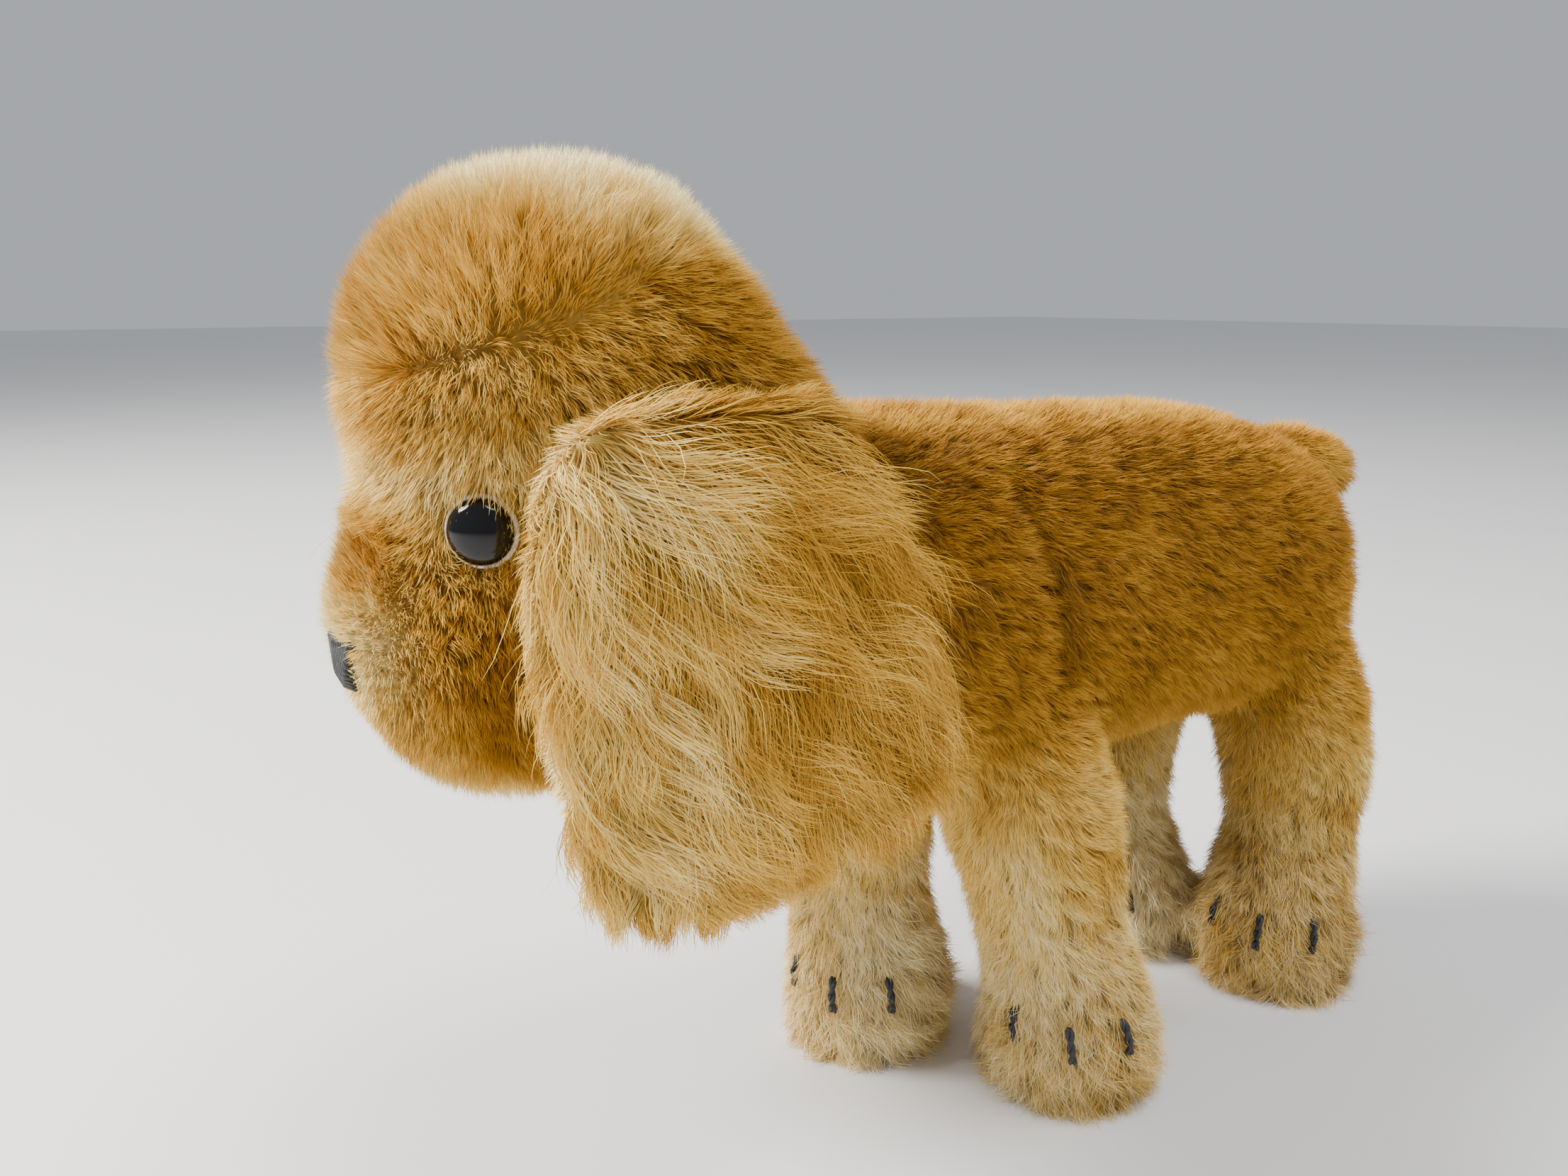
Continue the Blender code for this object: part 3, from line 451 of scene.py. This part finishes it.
def grow(name, body, skin, count, segments, rule, seed):
    """Pile over one skin, by a rule that says how it lies, how long and how pale it is."""
    rng = np.random.default_rng(seed)
    p, n = sample(skin.data, int(count * AMOUNT), rng)
    style = rule(p, n)
    kept = rng.random(len(p)) < style["cover"]
    p, n = p[kept], n[kept]
    style = {key: value[kept] if isinstance(value, np.ndarray) else value for key, value in style.items()}
    style["rise"] = tuple(value[kept] if isinstance(value, np.ndarray) else value for value in style["rise"])
    lines, shared = strands(p, n, style, segments, rng)
    lines[:, :, 2] = np.maximum(lines[:, :, 2], 0.25 + 0.2 * rng.random((len(p), 1)))
    widest = HALF_WIDTH + 9.0 - rng.random((len(p), 1))
    lines[:, :, 0] = np.clip(lines[:, :, 0], -widest, widest)
    width = style["width"] * (0.8 + 0.4 * rng.random(len(p))) / (AMOUNT ** 0.5)
    tint = style["tint"] + rng.normal(0, 0.06, len(p)) + (shared - 0.5) * style["streak"]
    beige = rng.random(len(p)) < weathered(p)
    for label, chosen, material in (("gold", ~beige, GOLD_PILE), ("beige", beige, BEIGE_PILE)):
        if chosen.sum() < 100:
            continue
        pieces = ribbons(f"{name}_{label}", lines[chosen], n[chosen], width[chosen], tint[chosen],
                         material, rng)
        for piece in pieces:
            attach(piece, body)


# ---------------------------------------------------------------- where the pile lies, and its tones
#
# Each tint rule gives a place's tone from 0 (deepest) to 1 (palest). Each pile rule gives, for each root:
# nap: the way the strands lie; cover: the share that is kept; length in millimetres; rise: the angles
# off the skin at root and tip; ruffle: how much those angles vary; tuft: strands in a tuft; clump: how
# far they are drawn together; sway and stray: how far whole tufts and single strands turn from the nap;
# wave and turns: how wide and how often they bend sideways; streak: how much tone varies between tufts.

# Landmarks that hold only y are given with the neck's centre at y = -49; SHIFT moves them to the frame.
SHIFT = np.array((0.0, NECK[1] + 49.0, 0.0))
DART = ((-95.0, 145.0), (-80.0, 151.5))  # (y, z) of the two ends of the worn dart on the skull
CREASE_FOOT = -5.0                       # y of the foot of the crease behind the shoulder
CREASE_LEAN = -9.0                       # how far forward its top lies
ROOT_DEPTH = 2.2                         # how far the pile's roots lie inside the CAD surface
EAR_ROOT_DEPTH = 1.2
BODY_PILE = 3.6                          # lengths of the pile, in millimetres
HEAD_PILE = 4.4
EAR_PILE = 19.0
LINING_PILE = 3.4
EYES = [centre_of("eye_left"), centre_of("eye_right")]
NOSE = centre_of("nose_embroidery")
CLAWS = [centre_of(f"claw_{leg}_2") for leg in LEGS]
MUZZLE = NOSE + np.array((0.0, 6.0, 4.0))


def neck_depth(p):
    """Distance in front of the neck's plane; behind it is negative."""
    return (p - NECK) @ NECK_AXIS


def weathered(p):
    """Share of beige strands: most on the paws, some on the legs, none on the head."""
    low = ramp(-p[:, 2], -58, -16)
    behind = ramp(p[:, 1], -42, -36)
    return np.clip((0.75 * low + 0.25 * noise(p, 9.0, 61) * low) * behind, 0, 1)


def body_tint(p, n):
    """Gold, with painted shade along the back's edges, in the crease and on the paws, painted light on the
    legs' forward faces and the near front paw, and paler on the legs, the spine and inside.
    """
    x, y, z = p[:, 0], p[:, 1], p[:, 2]
    blotch = noise(p, 14.0, 3) * 0.09 + noise(p, 5.0, 8) * 0.03 + noise(p * (1, 0.6, 0.35), 3.0, 17) * 0.04
    # painted shade: the tint darkens in the crease behind the shoulder
    tint = 0.30 + blotch - 0.10 * np.exp(-(crease_distance(p) / 4.0) ** 2)
    # painted shade: the upward-facing back and rump are darkened
    tint -= 0.12 * ramp(n[:, 2], 0.2, 0.7)
    tint += (0.26 + 0.22 * noise(p, 12.0, 73)) * ramp(n[:, 2], 0.86, 0.99) * ramp(z, 110, 125)
    low = ramp(-z, -92, -50)
    # painted highlight: the legs' forward faces are paler
    tint += low * (0.28 + 0.10 * ramp(-n[:, 1], 0.0, 0.8) + 0.12 * noise(p, 8.0, 71))
    tint += 0.16 * ramp(-y, -20, 0) * np.exp(-((z - 70) / 16.0) ** 2)
    tint += 0.14 * ramp(y, 86, 94) * ramp(z, 98, 104)
    # painted light and shade: the near front paw is lightened and the other paws are darkened
    lit_near_paw = ramp(x, 4, 12) * ramp(-y, -36, -26)
    tint += ramp(-z, -40, -24) * (0.13 * lit_near_paw - 0.06)
    inner = ramp(-np.abs(x), -14, -8) * ramp(-z, -66, -58)
    tint = tint * (1 - inner) + inner * (0.78 + blotch)
    return tint


def body_rule(p, n):
    """Short dense pile lying back and down, longer and shaggier towards the paws."""
    z = p[:, 2]
    leg = ramp(-z, -66, -48)
    paw = ramp(-z, -26, -12)
    flank_nap, leg_nap = np.array((0.0, 0.62, -0.78)), np.array((0.0, 0.12, -1.0))
    nap = flank_nap * (1 - leg)[:, None] + leg_nap * leg[:, None]
    nap = nap + noise3(p, 16.0, 21) * 0.35 + noise3(p, 6.0, 31) * (0.3 + 0.6 * paw)[:, None]
    nap[:, 2] -= paw * 0.3
    cover = 1.0 - ramp(neck_depth(p), -2.2, -0.8)
    cover = cover * (1 - ramp(-n[:, 2], 0.75, 0.95) * ramp(-z, -4.0, -2.0))
    length = BODY_PILE + 1.6 * leg + 2.6 * paw + noise(p, 7.0, 41) * 0.6 + paw * noise(p, 5.0, 44) * 1.6
    rise0 = 1.15 - 0.35 * leg + noise(p, 9.0, 51) * 0.15
    claw_near = np.min([np.linalg.norm(p - q, axis=1) for q in CLAWS], axis=0)
    length = length * (0.45 + 0.55 * ramp(claw_near, 2.2, 5.0))
    return {"nap": nap, "cover": cover, "length": length, "rise": (rise0, 0.70 - 0.45 * leg), "ruffle": 0.18,
            "tuft": 26, "sway": 1.1, "stray": 0.5, "wave": 0.25 + 0.45 * paw, "turns": 0.8, "streak": 0.16,
            "clump": 0.28 + 0.42 * leg, "width": 0.14 + 0.02 * leg, "tint": body_tint(p, n)}


def head_tint(p, n):
    """Gold, with a painted highlight on the crown, a pale brow and muzzle tip, and darker cheeks."""
    x, y, z = p[:, 0], p[:, 1] - SHIFT[1], p[:, 2]
    blotch = noise(p, 10.0, 5) * 0.06 + noise(p, 3.5, 9) * 0.06
    tint = 0.57 + blotch
    # painted highlight: the crown is paler where the top light falls
    crown_highlight = ramp(z + (y + 90) * 0.15 + 3.0 * noise(p, 7.0, 72), 153, 166)
    tint += crown_highlight * 0.45
    tint -= 0.15 * ramp(y, -84, -66) * (1 - crown_highlight)
    band = ramp(-np.abs(x), -19, -13) * ramp(z, 112, 120)
    tint -= band * 0.02 * (1 - crown_highlight)
    cheek = ramp(-z, -116, -108) * ramp(np.abs(x), 12, 18)
    tint -= cheek * 0.22
    front = ramp(-y, 107, 113) * ramp(-z, -117, -108)
    tint += front * 0.36
    brow = np.exp(-(((y + 103) / 9.0) ** 2 + ((z - 129) / 4.5) ** 2))
    tint += brow * 0.30
    seam = np.exp(-((seam_distance(y, z)) / 2.6) ** 2)
    tint -= seam * 0.10
    chin = ramp(-z, -92, -84)
    tint += chin * 0.2
    return tint


def seam_distance(y, z):
    """Distance from the worn dart on the side of the skull."""
    (ay, az), (by, bz) = DART
    t = np.clip(((y - ay) * (by - ay) + (z - az) * (bz - az)) / ((by - ay) ** 2 + (bz - az) ** 2), 0, 1)
    return np.hypot(y - ay - t * (by - ay), z - az - t * (bz - az))


def head_rule(p, n):
    """Dense pile that parts at the dart and turns outwards round the nose."""
    x, y, z = p[:, 0], p[:, 1] - SHIFT[1], p[:, 2]
    above = ramp(z - (143.5 + (y + 98.0) * 0.42), -4.0, 5.0)
    side = np.sign(x)
    down = np.array((0.0, 0.35, -0.95))
    up = columns(-0.35 * side, 0.45 + (y + 86) * 0.02, 0.9)
    nap = down * (1 - above)[:, None] + up * above[:, None]
    muzzle = ramp(-y, 103, 110) * ramp(-z, -124, -116)
    away = p - NOSE
    nap = nap * (1 - muzzle)[:, None] + unit(away) * muzzle[:, None]
    nap = nap + noise3(p, 12.0, 22) * 0.35 + noise3(p, 4.0, 32) * 0.25
    cover = ramp(neck_depth(p), 0.8, 2.2)
    for eye in EYES:
        cover = cover * ramp(np.linalg.norm(p - eye, axis=1), 4.0, 4.7)
    nose_gap = np.hypot((x - NOSE[0]) / 1.15, z - NOSE[2])
    on_nose = ramp(-nose_gap, -5.0, -3.8) * ramp(-y, 104, 108)
    cover = cover * (1 - on_nose)
    seam = np.exp(-((seam_distance(y, z)) / 2.2) ** 2) * ramp(np.abs(x), 6, 10)
    cover = cover * (1 - 0.55 * seam)
    short = muzzle * 0.30 + ramp(-z, -118, -108) * 0.15
    length = (HEAD_PILE + noise(p, 6.0, 42) * 0.6) * (1 - short) * (1 - 0.5 * seam)
    return {"nap": nap, "cover": cover, "length": length, "rise": (1.2, 0.85), "ruffle": 0.18, "tuft": 26,
            "sway": 1.1, "stray": 0.55, "wave": 0.2, "turns": 0.8, "clump": 0.3, "streak": 0.12,
            "width": 0.135, "tint": head_tint(p, n)}


def ear_tint(p, n):
    """Pale at the front, golden towards the back."""
    y, z = p[:, 1] - SHIFT[1], p[:, 2]
    tint = 0.45 + noise(p * (1, 1, 0.4), 5.0, 6) * 0.12 + noise(p * (1, 1, 0.3), 2.2, 10) * 0.08
    tint += 0.26 * ramp(-y, 76, 94)
    tint -= 0.08 * ramp(y, -68, -52)
    tint += 0.05 * ramp(-z, -92, -76)
    return tint


def ear_rule(p, n):
    """Long wavy locks on the ear's outer side, shorter at its top and its front edge."""
    x, y, z = p[:, 0], p[:, 1] - SHIFT[1], p[:, 2]
    outer = ramp(np.sign(x) * n[:, 0], -0.35, 0.1)
    top = ramp(n[:, 2], 0.25, 0.7)
    fore = ramp(-y, 72, 98)
    high = ramp(z, 100, 128)
    nap = columns(0.0, 0.44 - 0.30 * fore + 0.25 * high * (1 - fore), -1.0)
    nap = nap + noise3(p, 15.0, 23) * 0.45 + noise3(p, 7.0, 33) * 0.3
    room = np.clip((z - 66.0) / 26.0, 0.22, 1.0)
    length = (EAR_PILE + noise(p, 8.0, 43) * 4.0) * room
    length = length * (1 - 0.5 * top) * (1 - 0.35 * fore * (1 - high))
    length = length * (1 - 0.6 * ramp(-n[:, 1], 0.15, 0.7))
    cover = outer * (1 - 0.3 * top)
    return {"nap": nap, "cover": cover, "length": length, "rise": (0.42 + 0.15 * top, -0.10),
            "ruffle": 0.09, "tuft": 120, "sway": 0.8, "stray": 0.16, "wave": 0.5, "turns": 0.8, "clump": 0.7,
            "streak": 0.26, "width": 0.15, "tint": ear_tint(p, n)}


def lining_rule(p, n):
    """The short pale plush of the ear's inner side and its edges."""
    x = p[:, 0]
    outer = ramp(np.sign(x) * n[:, 0], 0.1, 0.5)
    nap = np.array((0.0, 0.1, -1.0)) + noise3(p, 8.0, 25) * 0.4
    length = LINING_PILE + noise(p, 5.0, 45) * 0.8
    return {"nap": nap, "cover": 1 - outer, "length": length, "rise": (1.0, 0.4),
            "ruffle": 0.2, "tuft": 26, "sway": 1.0, "stray": 0.4, "wave": 0.4, "turns": 0.8, "clump": 0.4,
            "streak": 0.16, "width": 0.15, "tint": ear_tint(p, n) + 0.08}


# ---------------------------------------------------------------- skins and pile

def crease_distance(p):
    """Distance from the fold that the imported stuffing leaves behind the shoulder."""
    x, y, z = np.abs(p[:, 0]), p[:, 1] - SHIFT[1], p[:, 2]
    place = CREASE_FOOT + CREASE_LEAN * np.clip((z - 89.0) / 36.0, 0, 1)
    return np.abs(y - place) + 40.0 * (1 - ramp(x, 14, 20) * ramp(z, 78, 88))


def body_inset(p, n):
    leg = ramp(-p[:, 2], -6.0, -3.0)
    near_neck = ramp(neck_depth(p), -5.0, -1.0)
    crease = 2.0 * np.exp(-(crease_distance(p) / 3.2) ** 2)
    sole = ramp(-n[:, 2], 0.4, 0.8) * leg
    paw = ramp(-p[:, 2], -26.0, -14.0)
    tail = ramp(p[:, 1] - SHIFT[1], 88, 95) * ramp(p[:, 2], 98, 103)
    return (ROOT_DEPTH + 0.9 * paw + crease - 1.8 * tail) * (1 - sole) * (1 - near_neck) + 0.25 * sole


def head_inset(p, n):
    muzzle = np.exp(-(np.linalg.norm(p - MUZZLE, axis=1) / 11.0) ** 2)
    return (ROOT_DEPTH - 1.7 * muzzle) * ramp(neck_depth(p), 1.0, 5.0)


def ear_inset(p, n):
    return np.full(len(p), EAR_ROOT_DEPTH)


GOLD_PILE = pile_material("golden_pile", GOLD)
BEIGE_PILE = pile_material("beige_pile", BEIGE)
backing = skin_material("mohair_backing")

body_skin = stuffed_skin("body_skin", BODY_PANELS + BODY_FILLING, 1.8 * MM, body_inset, 8)
body_skin.data.materials.append(backing)
tone(body_skin, body_tint)
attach(body_skin, "body")
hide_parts(*BODY_PANELS, *BODY_FILLING)

head_skin = stuffed_skin("head_skin", HEAD_PANELS + ("head_stuffing",), 1.8 * MM, head_inset, 8)
head_skin.data.materials.append(backing)
tone(head_skin, head_tint)
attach(head_skin, "head")
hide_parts(*HEAD_PANELS, "head_stuffing")

grow("body_pile", "body", body_skin, 400000, 2, body_rule, 11)
grow("head_pile", "head", head_skin, 190000, 2, head_rule, 12)
for side in ("left", "right"):
    nodes = (f"ear_mohair_{side}", f"ear_lining_{side}")
    ear_skin = stuffed_skin(f"ear_skin_{side}", nodes, 1.2 * MM, ear_inset, 6)
    ear_skin.data.materials.append(backing)
    tone(ear_skin, ear_tint)
    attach(ear_skin, f"ear_{side}")
    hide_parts(*nodes)
    grow(f"ear_pile_{side}", f"ear_{side}", ear_skin, 64000, 6, ear_rule, 13)
    grow(f"ear_plush_{side}", f"ear_{side}", ear_skin, 60000, 2, lining_rule, 14)

# ---------------------------------------------------------------- carried-over nodes

glass = principled("black_glass", (0.004, 0.004, 0.005), 0.06, Specular_IOR_Level=0.3)[0]
white = speckle("white_backing", (0.70, 0.68, 0.62), (0.86, 0.84, 0.79), 0.8, 900.0)
steel = speckle("bright_steel", (0.50, 0.50, 0.51), (0.66, 0.66, 0.67), 0.35, 500.0, 0.1, Metallic=1.0)
board = speckle("hardboard", (0.22, 0.14, 0.07), (0.36, 0.25, 0.14), 0.8, 700.0)
thread = speckle("black_thread", (0.008, 0.009, 0.011), (0.030, 0.032, 0.036), 0.55, 1500.0, 0.5)
felt = speckle("beige_felt", (0.42, 0.30, 0.16), (0.62, 0.48, 0.29), 0.95, 800.0, 0.8)


LATHE_SIDES = 56
THREAD_SIDES = 8
EYE_RADIUS = 4.2                     # of the glass, in millimetres
EYE_EDGE = 0.9                       # height of the glass's edge above its backing
EYE_DOME = 2.5                       # rise of the dome above that edge
NOSE_STITCHES = 19
NOSE_THREAD = 0.36
NOSE_DEPTH = 1.1                     # how far the stitches lie behind the CAD patch's face
STITCH_DIP = 0.9                     # how much farther back the ends of a stitch go
CLAW_THREAD = 0.46
CLAW_TWIST = 0.38                    # distance of each ply from the claw's middle
CLAW_ARCH = 1.1
CLAW_SUNK = (2.1, 0.8, 2.1)          # depth of the outer, middle and inner claws in the pile


def mean_of(node):
    return points_of(NODES[node].data).mean(axis=0) / MM


def lathe(name, profile, place, axis, material):
    """A closed turned solid from (radius, height) rows; the first and last radius are zero."""
    turn = Vector(axis).to_track_quat("Z", "Y").to_matrix()
    verts, faces = [], []
    sides = LATHE_SIDES
    for radius, height in profile[1:-1]:
        for i in range(sides):
            angle = 2 * math.pi * i / sides
            verts.append(Vector((radius * math.cos(angle), radius * math.sin(angle), height)))
    rows = len(profile) - 2
    verts += [Vector((0, 0, profile[0][1])), Vector((0, 0, profile[-1][1]))]
    for r in range(rows - 1):
        for i in range(sides):
            j = (i + 1) % sides
            faces.append((r * sides + i, r * sides + j, (r + 1) * sides + j, (r + 1) * sides + i))
    for i in range(sides):
        j = (i + 1) % sides
        faces.append((j, i, rows * sides))
        faces.append(((rows - 1) * sides + i, (rows - 1) * sides + j, rows * sides + 1))
    spot = Vector(place)
    return mesh_object(name, [(spot + turn @ v) * MM for v in verts], faces, material)


def threads(name, paths, radius, material):
    """Round threads along paths in millimetres, as one mesh with pointed ends."""
    verts, faces = [], []
    sides = THREAD_SIDES
    for path in paths:
        path = np.array(path, float)
        tangent = unit(np.gradient(path, axis=0))
        start = len(verts)
        last = len(path) - 1
        for k, (q, t) in enumerate(zip(path, tangent)):
            a = unit(np.cross(t, (0.31, 0.17, 0.93)))
            b = np.cross(t, a)
            r = radius * (0.45 if k in (0, last) else 1.0)
            for i in range(sides):
                angle = 2 * math.pi * i / sides
                verts.append((q + r * (math.cos(angle) * a + math.sin(angle) * b)) * MM)
        for k in range(last):
            for i in range(sides):
                j = (i + 1) % sides
                row = start + k * sides
                faces.append((row + i, row + j, row + sides + j, row + sides + i))
        faces.append(tuple(start + i for i in reversed(range(sides))))
        faces.append(tuple(start + last * sides + i for i in range(sides)))
    return mesh_object(name, verts, faces, material)


def twisted(path, radius, turns, offset):
    """One ply of a twisted thread round a straight or bent path."""
    path = np.array(path, float)
    tangent = unit(np.gradient(path, axis=0))
    a = unit(np.cross(tangent, (0.31, 0.17, 0.93)))
    b = np.cross(tangent, a)
    angle = np.linspace(0, turns * 2 * math.pi, len(path)) + offset
    return path + radius * (np.cos(angle)[:, None] * a + np.sin(angle)[:, None] * b)


def make_eyes():
    for side in ("left", "right"):
        axis = unit(mean_of(f"eye_{side}") - mean_of(f"eye_backing_{side}"))
        base = mean_of(f"eye_backing_{side}")
        dome = [(0.0, 0.3), (3.7, 0.3), (4.1, 0.5), (EYE_RADIUS, EYE_EDGE)]
        dome += [(EYE_RADIUS * math.cos(t), EYE_EDGE + EYE_DOME * math.sin(t))
                 for t in np.linspace(0.12, 1.45, 14)]
        dome += [(0.0, EYE_EDGE + EYE_DOME)]
        eye = lathe(f"eye_glass_{side}", dome, base, axis, glass)
        rim = [(0.0, -0.3), (4.3, -0.3), (4.6, -0.1), (4.7, 0.3)]
        rim += [(4.6, 0.6), (4.3, 0.75), (4.1, 0.65), (0.0, 0.5)]
        disc = lathe(f"eye_disc_{side}", rim, base, axis, white)
        for piece, node, slot in ((eye, "eye", "black_glass"), (disc, "eye_backing", "white_backing")):
            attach(piece, "head")
            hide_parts(f"{node}_{side}")


def make_nose():
    """Satin stitches side by side, from the top edge of the patch to its lower edge."""
    node = NODES["nose_embroidery"]
    low, high = (np.array(corner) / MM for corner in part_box("nose_embroidery"))
    paths = []
    middle = (low[0] + high[0]) / 2
    half = (high[0] - low[0]) / 2
    for across in np.linspace(-1, 1, NOSE_STITCHES):
        x = middle + across * half * 0.97
        top = high[2] - 0.9 * across ** 2 - 0.1
        bottom = low[2] + (high[2] - low[2]) * 0.86 * abs(across) ** 1.5
        path = []
        for z in np.linspace(bottom, top, 9):
            hit, spot, _, _ = node.ray_cast(Vector((x, low[1] - 20, z)) * MM, Vector((0, 1, 0)))
            y = spot.y / MM if hit else (low[1] + high[1]) / 2
            path.append((x, y + NOSE_DEPTH, z))
        for end in (0, -1):
            path[end] = (x, path[end][1] + STITCH_DIP, path[end][2])
        paths.append(path)
    nose = threads("nose_stitches", paths, NOSE_THREAD, thread)
    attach(nose, "head")
    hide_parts("nose_embroidery")


def make_claws():
    """Each claw is a twist of two threads laid over the toe."""
    for leg in LEGS:
        paw = centre_of(f"sole_pad_{leg}")
        for number, sunk in enumerate(CLAW_SUNK, start=1):
            node = f"claw_{leg}_{number}"
            co = points_of(NODES[node].data) / MM
            low = co[co[:, 2] < co[:, 2].min() + 0.8].mean(axis=0)
            high = co[co[:, 2] > co[:, 2].max() - 0.8].mean(axis=0)
            out = unit(((low + high) / 2 - paw) * (1, 1, 0))
            t = np.linspace(0, 1, 15)[:, None]
            path = low + (high - low) * t + out * (CLAW_ARCH * np.sin(t * math.pi) ** 0.5 - sunk)
            plies = [twisted(path, CLAW_TWIST, 1.6, offset) for offset in (0.0, math.pi)]
            claw = threads(f"{node}_thread", plies, CLAW_THREAD, thread)
            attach(claw, "body")
            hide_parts(node)


def make_soles():
    for leg in LEGS:
        low, high = (np.array(corner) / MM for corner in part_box(f"sole_pad_{leg}"))
        radius = (high[0] - low[0]) / 2
        rows = [(0.0, 0.0), (radius - 0.5, 0.0), (radius, 0.35)]
        rows += [(radius, 0.9), (radius - 0.4, 1.2), (0.0, 1.25)]
        place = ((low[0] + high[0]) / 2, (low[1] + high[1]) / 2, 0.0)
        pad = lathe(f"sole_felt_{leg}", rows, place, (0, 0, 1), felt)
        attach(pad, "body")
        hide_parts(f"sole_pad_{leg}")


make_eyes()
make_nose()
make_claws()
make_soles()
LOOKS = {"eye_shank": steel, "neck_washer": steel, "cotter": steel, "neck_disc": board}
for node, ob in NODES.items():       # the inner pieces keep their CAD shapes
    for key, look in LOOKS.items():
        if key in node:
            ob.data.materials.clear()
            ob.data.materials.append(look)

# ---------------------------------------------------------------- stage, light and camera

CAMERA_SPOT = (155.6, -147.9, 150.0)     # in millimetres
CAMERA_AZIMUTH = 56.0                    # degrees; 0 looks along +Y, straight at the dog's face
CAMERA_PITCH = 14.0                      # degrees below the horizon
CAMERA_LENS = 27.0


def place_camera():
    azimuth, pitch = math.radians(CAMERA_AZIMUTH), math.radians(CAMERA_PITCH)
    camera = bpy.data.cameras.new("camera")
    ob = bpy.data.objects.new("camera", camera)
    bpy.context.scene.collection.objects.link(ob)
    level = math.cos(pitch)
    ahead = Vector((-math.sin(azimuth) * level, math.cos(azimuth) * level, -math.sin(pitch)))
    spot = (Vector(CAMERA_SPOT) + Vector(SHIFT)) * MM
    ob.matrix_world = Matrix.Translation(spot) @ ahead.to_track_quat("-Z", "Y").to_matrix().to_4x4()
    camera.sensor_width = 36.0
    camera.lens = CAMERA_LENS
    camera.clip_start = 0.01
    bpy.context.scene.camera = ob


def area_light(name, spot, target, size, power, colour):
    light = bpy.data.lights.new(name, "AREA")
    light.shape = "DISK"
    light.size = size
    light.energy = power
    light.color = colour
    ob = bpy.data.objects.new(name, light)
    bpy.context.scene.collection.objects.link(ob)
    aim = (Vector(target) - Vector(spot)).to_track_quat("-Z", "Y").to_matrix().to_4x4()
    ob.matrix_world = Matrix.Translation(spot) @ aim


def stage():
    material = speckle("pale_floor", (0.73, 0.73, 0.735), (0.76, 0.76, 0.765), 0.45, 3.0, 0.02)
    corners = [(-6, -6, 0), (6, -6, 0), (6, 6, 0), (-6, 6, 0)]
    floor = mesh_object("floor", corners, [(0, 1, 2, 3)], material)
    world = bpy.data.worlds.new("soft_light")
    bpy.context.scene.world = world
    world.use_nodes = True
    world.node_tree.nodes["Background"].inputs["Color"].default_value = (0.90, 0.94, 1.0, 1.0)
    world.node_tree.nodes["Background"].inputs["Strength"].default_value = 0.5
    area_light("window", (-0.45, -0.80, 0.95), (0.0, 0.0, 0.08), 0.5, 46.0, (1.0, 0.96, 0.90))
    area_light("ceiling", (0.35, 0.1, 1.3), (0.0, 0.0, 0.08), 0.6, 16.0, (1.0, 0.97, 0.93))


stage()
place_camera()
